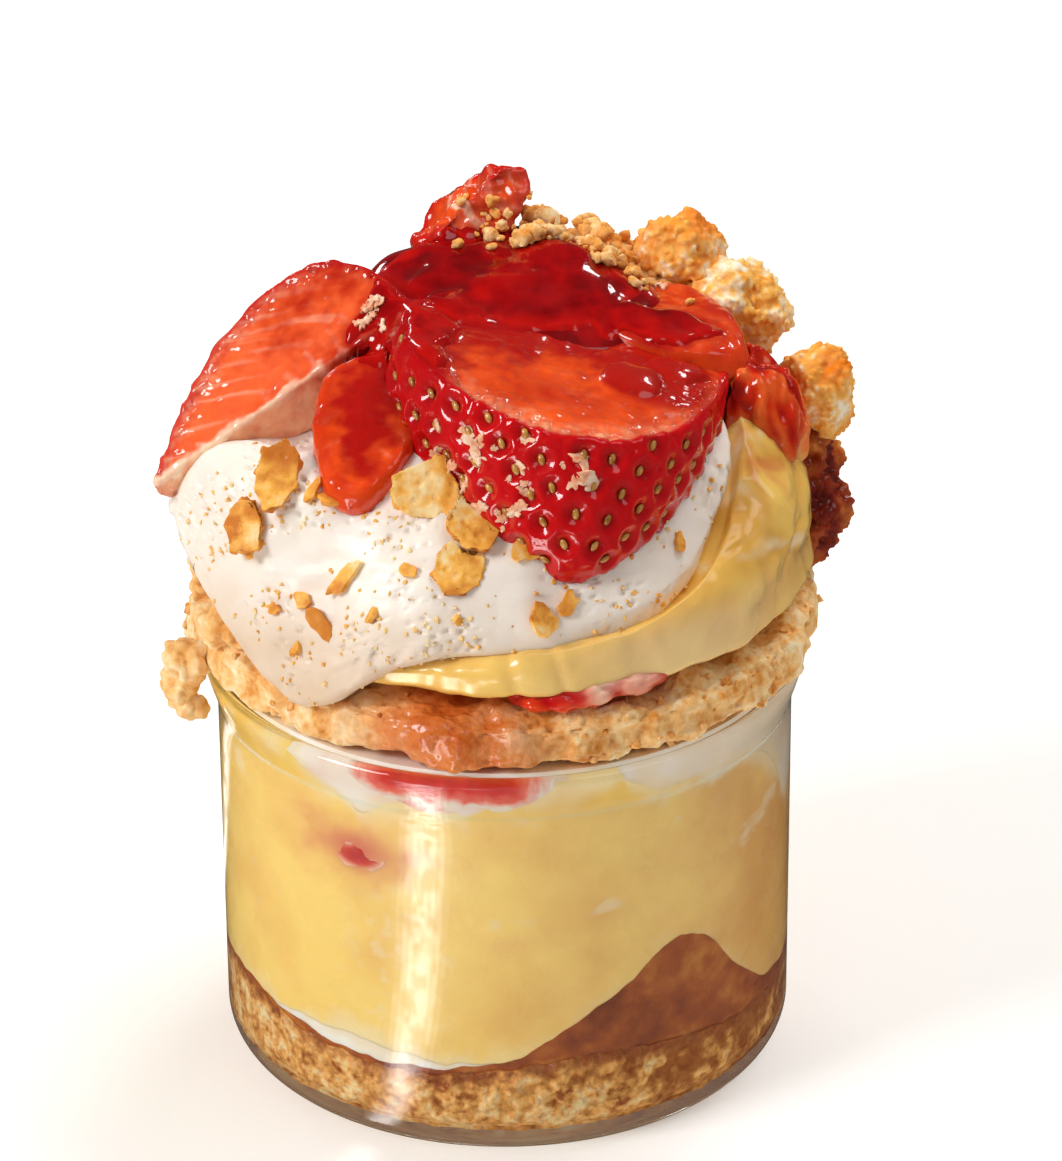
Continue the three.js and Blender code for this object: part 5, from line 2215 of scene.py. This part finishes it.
@dataclass
class Chunk:
    """Broken lump of biscuit or soaked cake with flat breaks, glazed on top and open crumb at its sides."""

    node: str
    finish: Finish
    slot: Slot
    crag: float = 0.3
    toast: float = 0.5
    glaze: float = 0.6
    breaks: int = 9
    depth: Pair = (0.74, 0.97)
    mesh: tuple[float, int] = (0.24, 2)
    grow: float = 0.5
    swells: Swell = Swell(0.7, 5.0, 2)
    upper_edge: Swell = Swell(0.2, 3.0, 2)
    upper: Step = Step(0.1, 0.5)
    crags: Swell = Swell(1.0, 2.6, 3)
    grains: Dots = Dots(1.2, Step(0.6, 0.1))
    grain_height: float = 0.55
    grain_on: Step = Step(-0.4, 0.1)
    pits: Dots = Dots(2.0, Step(0.42, 0.12), 40)
    pit_depth: float = 0.5
    patches: Swell = Swell(0.4, 4.0, 2)
    # Toast taken off the raised grains, and added in the pits as painted shade.
    tones: Pair = (-0.45, 0.25)
    thin: float = 0.3
    thin_clouds: Swell = Swell(0.6, 5.0, 3)
    wet: Swell = Swell(1.0, 6.0, 2, 15)
    wet_step: Step = Step(-0.4, 0.3)
    strewn: Step = Step(0.2, 0.8)

    def broken(self, points: Array) -> Array:
        """Points brought back to flat breaks in random directions."""
        draw = np.random.default_rng(len(self.node) + self.breaks)
        middle = points.mean(axis=0)
        for way in unit(draw.normal(size=(self.breaks, 3))):
            out = (points - middle) @ way
            points = points - np.outer(np.maximum(out - draw.uniform(*self.depth) * out.max(), 0), way)
        return points

    def build(self) -> Piece:
        """Makes the lump.

        Returns:
            The finished piece.
        """
        skin = Skin.of_node(self.node, *self.mesh)
        skin.push(self.grow + self.swells(skin.points))
        skin.points = self.broken(skin.points)
        points = skin.points
        upper = self.upper(skin.normals[:, 2] + self.upper_edge(points))
        lumps = self.crag * self.crags(points)
        grains = self.grains(points)
        pits = self.pits(points) * (1 - upper)
        skin.push(lumps + self.grain_height * grains * self.grain_on(lumps) - self.pit_depth * pits)
        # Toasted top and patches, paler raised grains, and painted shade in the pits.
        toast = mixed((self.toast, 1.0, *self.tones), upper, self.patches(points), grains, pits)
        thin = np.clip(self.thin + self.thin_clouds(points), 0, 1)
        wet = self.glaze * self.wet_step(self.wet(points)) * upper
        skin.tag(toast=toast, thin=thin, syrup=wet, strew=self.strewn(upper))
        return skin.dress(self.node + "_lump", self.finish, self.slot, self.node)


CHUNKS = (
    Chunk("biscuit_chunk_back", CHUNK, Slot.CRUST, toast=0.7, glaze=0.5, breaks=5),
    Chunk("biscuit_chunk_pale", CHUNK, Slot.CRUST, toast=-0.6, glaze=0.0),
    Chunk("biscuit_chunk_right", CHUNK, Slot.CRUST, toast=0.6, glaze=0.4),
    Chunk("jam_cake_right", STICKY, Slot.JAM, crag=0.8, glaze=0.0, breaks=0),
)


@dataclass
class BerryPulp:
    """Stringy berry pulp that runs down into the custard."""

    node: str = "berry_pulp_right"
    mesh: tuple[float, int] = (0.24, 4)
    sway: Swell = Swell(1.2, 6.0, 2)
    strings: Swell = Swell(1.0, 2.6, 2, stretch=(1, 1, 0.12))
    shreds: Swell = Swell(1.0, 6.0, 3, stretch=(1, 1, 0.4))
    relief: Triple = (0.2, 0.55, 1.6)
    run: Pair = (5.0, 4.0)
    blend: Step = Step(94.0, 85.0)
    blend_most: float = 0.9
    thin: Triple = (0.25, 0.5, 0.5)
    thin_low: Step = Step(99, 87)

    def build(self) -> None:
        """Makes the pulp."""
        skin = Skin.of_node(self.node, *self.mesh)
        points = skin.points
        z = points[:, 2]
        swayed = bent(points, self.sway)
        strings = self.strings(swayed)
        shreds = self.shreds(swayed)
        grow, stringy, shredded = self.relief
        skin.push(grow + stringy * strings + shredded * shreds)
        custard = self.blend(z + self.run[0] * strings + self.run[1] * shreds)
        thin = mixed(self.thin, 1.0, strings, self.thin_low(z))
        skin.tag(thin=thin, custardy=self.blend_most * custard)
        skin.dress("berry_pulp_strings", PULP, Slot.JAM, self.node)


@dataclass
class CrumbleHeap:
    """Heap of crumbled cake behind the fruit."""

    node: str = "crumble_back"
    mesh: tuple[float, int] = (0.42, 5)
    grow: float = 0.2
    crags: Swell = Swell(0.8, 4.0, 3)
    flakes: Triple = (1.2, 0.5, 2.6)
    sunk: float = 6.0
    under: Step = Step(0.0, 0.3)
    jam_front: Step = Step(22.0, 14.0)
    jam_high: Step = Step(100, 106)
    stain: float = 0.2
    toast: float = 0.45
    patches: Swell = Swell(0.5, 5.0, 2)

    def build(self) -> Piece:
        """Makes the heap.

        Returns:
            The finished piece.
        """
        skin = Skin.of_node(self.node, *self.mesh)
        points = skin.points
        x, y, z = points.T
        skin.push(self.grow + self.crags(points) + CakeRing.flaky(points, self.flakes))
        under = self.under(JAM_FIELD.depth(x, y))
        skin.points = skin.points - np.outer(self.sunk * under, np.array([0, 0, 1]))
        stain = self.stain * self.jam_front(y) * self.jam_high(z)
        skin.tag(toast=np.clip(self.toast + self.patches(points), 0, 1), stain=stain, strew=1.0)
        return skin.dress("crumble_heap", CAKE, Slot.CAKE, self.node)


@dataclass
class CrustShards:
    """Shards of crust on the cream: thin pale faces, toasted towards one end and along ragged edges."""

    toasts: ClassVar[dict[str, float]] = {
        "left": 0.35, "outer": 0.0, "upper": -0.2, "middle": 0.0, "front": -0.1,
    }
    mesh: tuple[float, int] = (0.15, 1)
    lift: float = 0.7
    thin: float = 0.5
    curl: Pair = (0.8, 0.3)
    side: Step = Step(0.2, 0.8)
    ragged: Swell = Swell(0.9, 2.2, 3)
    side_sunk: float = 0.2
    waves: Swell = Swell(0.12, 3.0, 3)
    bubbles: Dots = Dots(1.8, Step(0.35, 0.1))
    bubble: float = 0.15
    browned: Step = Step(-0.2, 1.0)
    brown: Pair = (0.6, 0.7)
    patches: Swell = Swell(0.55, 4.0, 3)
    syrup: float = 0.2
    syrupy: Step = Step(0.5, 1.0)

    def build(self) -> None:
        """Makes the shards."""
        for place, toasted in self.toasts.items():
            self.build_shard("crust_shard_" + place, toasted)

    def build_shard(self, node: str, toasted: float) -> None:
        """Makes one shard.

        Args:
            node: its solid.
            toasted: how much browner it is than the others.
        """
        skin = Skin.of_node(node, *self.mesh)
        points = skin.points
        spread = points - points.mean(axis=0)
        long, _, flat = np.linalg.svd(spread, full_matrices=False)[2]
        flat *= np.sign(flat[2])
        side = self.side(1 - np.abs(skin.normals @ flat))
        edge = side * (self.ragged(points) - self.side_sunk)
        skin.push(edge + self.waves(points) - self.bubble * self.bubbles(points))
        run = (spread @ long) / np.abs(spread @ long).max()
        curl, level = self.curl
        rise = self.lift - self.thin * (spread @ flat) + curl * (run**2 - level)
        skin.points = skin.points + np.outer(rise, flat)
        toast = self.brown[0] * side + self.brown[1] * self.browned(run) + self.patches(points) + toasted
        skin.tag(toast=np.clip(toast, 0, 1), syrup=self.syrup * self.syrupy(toast))
        skin.dress(node + "_flake", CRUST, Slot.CRUST, node)


@dataclass(frozen=True)
class Flake:
    """Small flake or crumb: about where it lies, its size and how toasted it is."""

    near: Point
    length: float
    width: float
    toast: float
    thick: float = 0.9

    def flakes(self) -> "list[Flake]":
        """The flake alone."""
        return [self]


@dataclass(frozen=True)
class Cluster:
    """Small crumbs of mixed sizes scattered about a point."""

    middle: Point
    spread: float
    count: int
    large: float
    flat: float
    small: float = 0.6
    skew: float = 1.8
    broad: Pair = (0.6, 0.95)
    toast: Pair = (-0.6, 0.25)
    seed: int = 100

    def flakes(self) -> list[Flake]:
        """The crumbs, drawn at random."""
        draw = np.random.default_rng(self.count + int(self.seed + self.middle[0]))
        spots = np.array(self.middle) + draw.normal(0, self.spread / 2, (self.count, 3))
        sizes = self.small + (self.large - self.small) * draw.random(self.count) ** self.skew
        widths = sizes * draw.uniform(*self.broad, self.count)
        toasts = draw.uniform(*self.toast, self.count)
        rows = zip(spots, sizes, widths, toasts)
        return [Flake(tuple(s), size, wide, t, self.flat * wide) for s, size, wide, t in rows]


@dataclass
class Flakes:
    """Small flakes or crumbs laid one by one on other pieces."""

    name: str
    slot: Slot
    items: tuple[Flake | Cluster, ...]
    finish: Finish = CRUST
    sectors: int = 13
    rough: float = 0.12
    ragged: float = 0.5
    crease: float = 38.0
    levels: tuple[Pair, ...] = (
        (0.5, -0.5), (0.92, -0.4), (1.0, 0.0), (0.94, 0.4), (0.5, 0.5),
    )
    sunk: float = 0.1
    bend: float = 0.05
    outline: Swell = Swell(1.0, 1.2, 3)
    outline_at: float = 1.6
    grit: Swell = Swell(1.0, 0.9, 2)
    shifts: float = 50.0
    tip: float = 0.25
    patches: Swell = Swell(0.4, 2.0, 3)

    def flakes(self) -> list[Flake]:
        """All flakes, with those of clusters."""
        return [flake for item in self.items for flake in item.flakes()]

    def chip(self, flake: Flake, draw: np.random.Generator) -> Skin:
        """Ragged chip round the origin, slightly curled."""
        angles = full_turn(self.sectors)
        level = np.full(self.sectors, draw.uniform(0, self.shifts))
        line = np.column_stack([plan(self.outline_at, angles), level])
        ragged = 1 + self.ragged * self.outline(line)
        rings = []
        for share, level in self.levels:
            spot = plan(share * ragged / 2, angles) * np.array([flake.length, flake.width])
            bend = self.bend * flake.length * (2 * spot[:, 0] / flake.length) ** 2
            rings.append(np.column_stack([spot, level * flake.thick + bend]))
        half = np.array([0, 0, flake.thick / 2])
        skin = Skin.loft(np.array(rings), -half, half)
        skin.push(self.rough * flake.thick * self.grit(skin.points + draw.uniform(0, self.shifts)))
        return skin.crisp(self.crease)

    def build(self, carriers: list[Piece]) -> None:
        """Makes the flakes as one piece.

        Args:
            carriers: the pieces that carry them.
        """
        flakes = self.flakes()
        draw = np.random.default_rng(len(flakes))
        surface = Surface(carriers)
        chips, toasts = [], []
        for flake in flakes:
            chip = self.chip(flake, draw)
            spot, facing = surface.nearest(flake.near)
            turn = Vector(facing).to_track_quat("Z", "Y").to_matrix().to_4x4()
            spin = Matrix.Rotation(draw.uniform(0, math.pi), 4, "Z")
            tip = Matrix.Rotation(draw.uniform(-self.tip, self.tip), 4, "X")
            place = Vector(spot + (flake.thick / 2 - self.sunk) * facing)
            chip.mesh.transform(Matrix.Translation(place) @ turn @ spin @ tip)
            chips.append(chip)
            toasts.append(np.full(len(chip.points), flake.toast))
        skin = Skin.join(chips)
        skin.tag(toast=np.clip(np.concatenate(toasts) + self.patches(skin.points), 0, 1))
        skin.dress(self.name, self.finish, self.slot)


CREAM_FLAKES = Flakes(
    "cream_flakes",
    Slot.CRUST,
    (
        Flake((-21, -30, 85), 6.4, 2.4, 0.2),
        Flake((-24, -31, 79), 5.2, 2.6, 0.9),
        Flake((-27, -30, 82), 2.6, 2.2, 0.6),
        Flake((-16, -33, 81), 2.6, 2.4, 0.6),
        Flake((-6, -36, 82), 1.9, 1.6, 0.5),
        Flake((5, -35, 81), 4.6, 4.0, -0.3),
        Flake((8.6, -34, 83), 3.4, 2.6, 0.5),
        Flake((3, -31, 90), 5.0, 4.2, 0.3),
        Flake((-25, -22, 94), 4.0, 1.6, 0.5),
        Flake((-22, -22, 92), 6.5, 4.6, 0.4),
        Flake((-33, -22, 89), 3.4, 1.4, 0.7),
        Flake((-30, -27, 79), 2.2, 1.6, 0.7),
        Flake((-26, -30, 74), 2.8, 1.6, 0.6),
        Flake((-12, -32, 87), 2.4, 1.7, 0.4),
        Flake((24, -25, 88), 2.8, 1.4, 0.5),
    ),
)
FRUIT_CRUMBS = Flakes(
    "fruit_crumbs",
    Slot.CAKE,
    (
        Cluster((-3, 20, 114), 4.0, 16, 2.2, 0.9),
        Cluster((2, 20, 113), 3.6, 34, 3.2, 0.9),
        Cluster((7, 20.5, 112), 3.6, 38, 3.6, 0.9),
        Cluster((12, 20.5, 111), 3.6, 38, 3.6, 0.9),
        Cluster((17, 18.5, 110), 3.6, 34, 3.2, 0.9),
        Cluster((21, 13, 107), 3.6, 16, 2.2, 0.9),
    ),
    CRUMB,
    rough=0.3,
    ragged=0.25,
    crease=80.0,
    levels=((0.55, -0.42), (0.88, -0.26), (1.0, 0.0), (0.88, 0.26), (0.55, 0.42)),
)
BERRY_CRUMBS = Flakes(
    "berry_crumbs",
    Slot.CAKE,
    (
        Cluster((-2.5, -25, 101), 3.2, 12, 3.6, 0.2),
        Cluster((-6, -22, 98), 3.4, 14, 3.2, 0.2),
        Cluster((3, -28, 99), 3.0, 7, 3.0, 0.2),
        Cluster((8.5, -29, 100), 3.0, 8, 4.0, 0.2),
        Cluster((-0.5, -29, 95), 3.0, 8, 3.2, 0.2),
        Cluster((-18, 1.0, 109), 3.6, 16, 2.2, 0.4),
        Cluster((20, 13, 108), 3.0, 8, 2.2, 0.4),
    ),
    PALE_CRUMB,
    sectors=23,
    rough=0.4,
    ragged=0.9,
)


@dataclass
class JamCoat:
    """Thin jam that fills the hollows between the strawberries and runs out on their faces."""

    low: Pair = (-27.0, -22.0)
    high: Pair = (34.0, 21.5)
    step: float = 0.3
    blur: int = 50
    ease: int = 3
    wave: Swell = Swell(0.6, 9.0, 2)
    deep: Step = Step(0.0, 0.7)
    thick: float = 0.8
    fill: float = 1.8
    rise: float = 0.4
    lip: float = 0.7
    lip_edge: Step = Step(0.0, 0.2)
    bed_edge: Step = Step(0.0, 0.1)
    hide: float = 0.25
    sunk: float = 0.4
    sunk_edge: Step = Step(0.0, -0.1)
    body: float = 1.6
    shown: float = 0.1
    lowest: float = 92.0
    steep: float = 0.75
    cliff: float = 0.35
    margin: int = 2
    corner_passes: int = 6
    feather: Step = Step(0.7, 0.0)
    back: Step = Step(-4, 10)
    tone: Triple = (0.55, 0.4, 0.75)
    clouds: Swell = Swell(0.4, 6.0, 3)
    ripple: Swell = Swell(0.08, 3.0, 2)

    @staticmethod
    def corners(field: Array) -> list[Array]:
        """Values of a grid at the four corners of its cells."""
        return [field[:-1, :-1], field[:-1, 1:], field[1:, 1:], field[1:, :-1]]

    @staticmethod
    def sides(field: Array) -> list[Array]:
        """Values of a grid beside its inner places."""
        return [field[:-2, 1:-1], field[2:, 1:-1], field[1:-1, :-2], field[1:-1, 2:]]

    def eased(self, field: Array, passes: int) -> Array:
        """Heights levelled with their neighbours a number of times."""
        for _ in range(passes):
            near = self.sides(np.pad(field, 1, mode="edge"))
            field = (field + sum(near)) / (len(near) + 1)
        return field

    def sheet(self, ground: Array, x: Array, y: Array) -> Array:
        """Height of the jam over the ground's heights: level in hollows, feathered out at its edge."""
        spot = np.column_stack([x.ravel(), y.ravel(), np.zeros(x.size)])
        wave = 1 + self.wave(spot).reshape(x.shape)
        reach = JAM_FIELD.depth(x, y)
        share = self.deep(reach)
        level = self.eased(ground, self.blur) + self.thick * wave
        bed = ground + (self.eased(ground, self.ease) - ground) * self.bed_edge(share)
        limit = bed + self.fill * share**3 + self.lip * self.lip_edge(reach) + self.rise * share
        limit -= self.hide + self.sunk * self.sunk_edge(reach)
        return self.eased(np.minimum(level, limit), 1)

    def kept(self, shown: Array, height: Array, bare: Array) -> Array:
        """Picks the cells of the grid that become jam.

        Args:
            shown: cells that stand above the ground.
            height: the jam's heights.
            bare: cells that stay free.

        Returns:
            Cells that show, with their neighbours, without steep or bare ones and corner contacts.
        """
        keep = np.pad(shown, self.margin)
        for _ in range(self.margin):
            keep[1:-1, 1:-1] |= np.any(self.sides(keep), axis=0)
        inner = slice(self.margin, -self.margin)
        keep = keep[inner, inner] & (np.ptp(self.corners(height), axis=0) < self.steep) & ~bare
        for _ in range(self.corner_passes):
            a, b, d, c = self.corners(keep)
            cross = (a & d & ~b & ~c) | (b & c & ~a & ~d)
            for corner in (a, b, c, d):
                corner |= cross
        return keep

    def build(self, carriers: list[Piece]) -> Piece:
        """Makes the jam.

        Args:
            carriers: the pieces that it lies on.

        Returns:
            The finished piece.
        """
        surface = Surface(carriers)
        x, y = np.meshgrid(*(np.arange(a, b, self.step) for a, b in zip(self.low, self.high)))
        ground = surface.heights(x, y)
        height = self.sheet(ground, x, y)
        above = (height > ground - self.shown) & (ground > self.lowest)
        outside = np.max(self.corners(JAM_FIELD.depth(x, y)), axis=0) < 0
        bare = outside & (np.ptp(self.corners(ground), axis=0) > self.cliff)
        keep = self.kept(np.any(self.corners(above), axis=0), height, bare)
        skin = self.shell(np.dstack([x, y, height]), keep)
        points = skin.points
        feather = self.feather(points[:, 2] - surface.heights(points[:, 0], points[:, 1]))
        tone, less, most = self.tone
        thick = np.clip(tone + self.clouds(points) - less * self.back(points[:, 1]), 0, most)
        skin.push(self.ripple(points) * (1 - feather))
        skin.tag(thin=np.clip(feather + thick * (1 - feather), 0, 1))
        return skin.dress("jam_coat", JELLY, Slot.JAM)

    def shell(self, top: Array, keep: Array) -> Skin:
        """Closed body under the kept cells of a grid of points."""
        rows, columns, _ = top.shape
        number = np.arange(rows * columns).reshape(rows, columns)
        upper = np.stack([corner[keep] for corner in self.corners(number)], -1)
        under = rows * columns
        edges = {(a, b) for quad in upper.tolist() for a, b in zip(quad, quad[1:] + quad[:1])}
        walls = [(b, a, a + under, b + under) for a, b in sorted(edges) if (b, a) not in edges]
        low = top - np.array([0, 0, self.body])
        points = np.vstack([top.reshape(-1, 3), low.reshape(-1, 3)])
        skin = Skin.of_faces(points, upper.tolist() + (upper[:, ::-1] + under).tolist() + walls)
        return skin.drop_loose()


@dataclass
class StrawberryStrip:
    """Strip of sliced strawberry between the custard and the cake, streaked with cream."""

    node: str = "strawberry_low"
    mesh: tuple[float, int] = (0.24, 4)
    ragged: Swell = Swell(1.0, 4.5, 3, stretch=(1, 1, 1.8))
    relief: Pair = (0.15, 0.7)
    wander: Swell = Swell(4.0, 6.0, 1)
    creamy: Pair = (14.5, 4.5)
    creamy_high: Step = Step(70.0, 72.5)
    creamy_ragged: float = 1.5
    flesh: Pair = (0.15, 0.5)
    fibre: float = 0.95
    film: float = 0.35
    film_low: Step = Step(0.2, -0.3)

    def build(self) -> None:
        """Makes the strip."""
        skin = Skin.of_node(self.node, *self.mesh)
        points = skin.points
        ragged = self.ragged(points)
        grow, depth = self.relief
        skin.push(grow + depth * ragged)
        middle, wide = self.creamy
        creamy = np.exp(-(((points[:, 0] + self.wander(points) - middle) / wide) ** 2))
        creamy *= self.creamy_high(points[:, 2] + self.creamy_ragged * ragged)
        flesh = mixed(self.flesh, 1.0, ragged)
        skin.tag(flesh=flesh, fibre=self.fibre * creamy, film=self.film * self.film_low(ragged))
        skin.dress("strawberry_strip", FRUIT, Slot.BERRY, self.node)


@dataclass(frozen=True)
class Lamp:
    """Soft rectangular lamp: its place, width and height, its watts, and if wet surfaces mirror it."""

    name: str
    place: Point
    size: Pair
    power: float
    glint: bool = True

    def build(self, target: Vector) -> None:
        """Hangs the lamp so that it faces a target."""
        light = bpy.data.lights.new(self.name, "AREA")
        light.shape = "RECTANGLE"
        light.size, light.size_y = (s * MM for s in self.size)
        light.energy = self.power
        body = bpy.data.objects.new(self.name, light)
        bpy.context.scene.collection.objects.link(body)
        away = Vector(self.place) - target
        body.matrix_world = Matrix.LocRotScale(Vector(self.place) * MM, away.to_track_quat("Z", "Y"), None)
        body.visible_camera = False
        body.visible_glossy = self.glint


@dataclass(frozen=True)
class Card:
    """Glowing card on the floor that only the glass mirrors, a wedge that widens away from the jar."""

    name: str
    angle: float
    near: float
    far: float
    spread: float
    glow: float
    apex: float = 29.0
    height: float = 0.6
    columns: int = 9
    patch: float = 9.0
    detail: float = 4.0
    patches: Pair = (0.42, 0.58)
    dim: float = 0.35

    def build(self) -> None:
        """Lays the card down."""
        rows, fades = [], []
        aside = plan(np.array(1.0), np.array(self.angle + QUARTER_TURN))
        for radius in (self.near, self.far):
            width = self.spread * (radius - self.apex)
            middle = plan(np.array(radius), np.array(self.angle))
            for side in np.linspace(-0.5, 0.5, self.columns):
                rows.append((*(middle + side * width * aside), self.height))
                fades.append(math.cos(math.pi * side) ** 2)
        count = self.columns
        faces = [(i, i + count, i + count + 1, i + 1) for i in range(count - 1)]
        skin = Skin.of_faces(np.array(rows) * MM, faces)
        skin.tag(fade=np.array(fades))
        recipe = Recipe(self.name)
        recipe.put(base_color=tint("000000"), emission_color=tint("ffffff"))
        cloud = recipe.noise(recipe.place(), self.patch, self.detail)
        patches = recipe.span(cloud, *self.patches, self.dim * self.glow, self.glow)
        recipe.put(emission_strength=recipe.times(recipe.attribute("fade"), patches))
        skin.mesh.materials.append(recipe.material)
        body = hold(self.name, skin.mesh)
        for kind in ("camera", "diffuse", "shadow", "transmission"):
            setattr(body, "visible_" + kind, False)
        body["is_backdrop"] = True


@dataclass
class Studio:
    """Pale floor, soft lights and the camera."""

    aim: Point = (3.77, 0.0, 68.9)
    distance: float = 750.0
    elevation: float = 27.55
    roll: float = -0.4
    focal_pixels: float = 5428.0
    sensor: float = 36.0
    nearest: float = 0.01
    floor_size: float = 6000.0
    ambient: float = 0.25
    mirrored: float = 0.05
    middle: Point = (0.0, 0.0, 75.0)
    lamps: tuple[Lamp, ...] = (
        Lamp("key", (-600, -310, 560), (300, 300), 4.5),
        Lamp("fill", (400, -200, 820), (420, 420), 0.9),
        Lamp("top", (200, 240, 720), (380, 300), 3.0, False),
        Lamp("glint_left", (-330, 560, 420), (60, 150), 0.3),
        Lamp("glint_right", (335, 585, 545), (70, 70), 0.2),
    )
    cards: tuple[Card, ...] = (
        Card("streak_card", -118.0, 41.0, 260.0, 0.5, 12.0),
        Card("edge_card", 140.0, 41.0, 200.0, 0.4, 2.2),
        Card("skin_card", -100.0, 190.0, 330.0, 0.35, 5.0),
    )

    def camera(self) -> None:
        """Sets the camera at the photo's angle."""
        lens = bpy.data.cameras.new("view")
        lens.sensor_width = self.sensor
        lens.lens = self.focal_pixels * self.sensor / max(IMAGE)
        lens.clip_start = self.nearest
        body = bpy.data.objects.new("view", lens)
        bpy.context.scene.collection.objects.link(body)
        tilt = math.radians(self.elevation)
        away = Vector((0, -math.cos(tilt), math.sin(tilt)))
        turn = away.to_track_quat("Z", "Y").to_matrix() @ Matrix.Rotation(math.radians(self.roll), 3, "Z")
        place = (Vector(self.aim) + away * self.distance) * MM
        body.matrix_world = Matrix.LocRotScale(place, turn, None)
        bpy.context.scene.camera = body

    def sky(self) -> None:
        """Makes the even surrounding light, dimmer where it is mirrored."""
        world = bpy.data.worlds.new("studio")
        world.use_nodes = True
        maker = Maker(world.node_tree)
        rays = maker.node("ShaderNodeLightPath").outputs
        back = world.node_tree.nodes["Background"]
        maker.feed(back.inputs["Color"], tint("ffffff"))
        strength = maker.span(rays["Is Glossy Ray"], 0, 1, self.ambient, self.mirrored)
        maker.feed(back.inputs["Strength"], strength)
        bpy.context.scene.world = world

    def ground(self) -> None:
        """Lays the floor."""
        half = self.floor_size * MM / 2
        corners = [(-half, -half, 0), (half, -half, 0), (half, half, 0), (-half, half, 0)]
        floor = Skin.of_faces(np.array(corners), [(0, 1, 2, 3)])
        floor.mesh.materials.append(Backdrop().material())
        body = hold("floor", floor.mesh)
        body.visible_glossy = False
        body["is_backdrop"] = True

    def build(self) -> None:
        """Makes the floor, the lights and the camera."""
        self.ground()
        self.sky()
        for lamp in self.lamps:
            lamp.build(Vector(self.middle))
        for card in self.cards:
            card.build()
        bpy.context.scene.view_settings.view_transform = "Standard"
        self.camera()


def write_sizes() -> None:
    """Works out the solids' box and the finished object's box as plain lists, which are not written out."""
    boxes = {"cad": CAD_BOX, "visual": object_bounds()}
    plain = {name: [[float(v) for v in corner] for corner in box] for name, box in boxes.items()}


def main() -> None:
    """Builds the object's pieces in order, from the studio and the jar up."""
    logging.basicConfig(level=logging.INFO, format="%(message)s")
    Studio().build()
    jar = GlassJar()
    jar.build()
    JarLayers(jar).build()
    RimJam(jar).build()
    SunkStrawberry(jar).build()
    cake = CakeRing().build()
    StrawberryStrip().build()
    dollop = CreamDollop()
    CustardCrown().build(dollop)
    cream = dollop.build()
    CrustShards().build()
    CREAM_FLAKES.build([cream])
    berries = [berry.build() for berry in BERRIES]
    pool = JamPool().build()
    BerryPulp().build()
    lumps = [chunk.build() for chunk in CHUNKS]
    heap = CrumbleHeap().build()
    coat = JamCoat().build([cake, cream, pool, heap, *berries, *lumps])
    FRUIT_CRUMBS.build([coat, *berries])
    BERRY_CRUMBS.build([coat, *berries])
    with CrumbKinds().collection() as bodies:
        CAKE_LOAD.strew(cake, bodies)
        HEAP_LOAD.strew(heap, bodies)
        CREAM_LOAD.strew(cream, bodies)
    write_sizes()


if __name__ == "__main__":
    main()
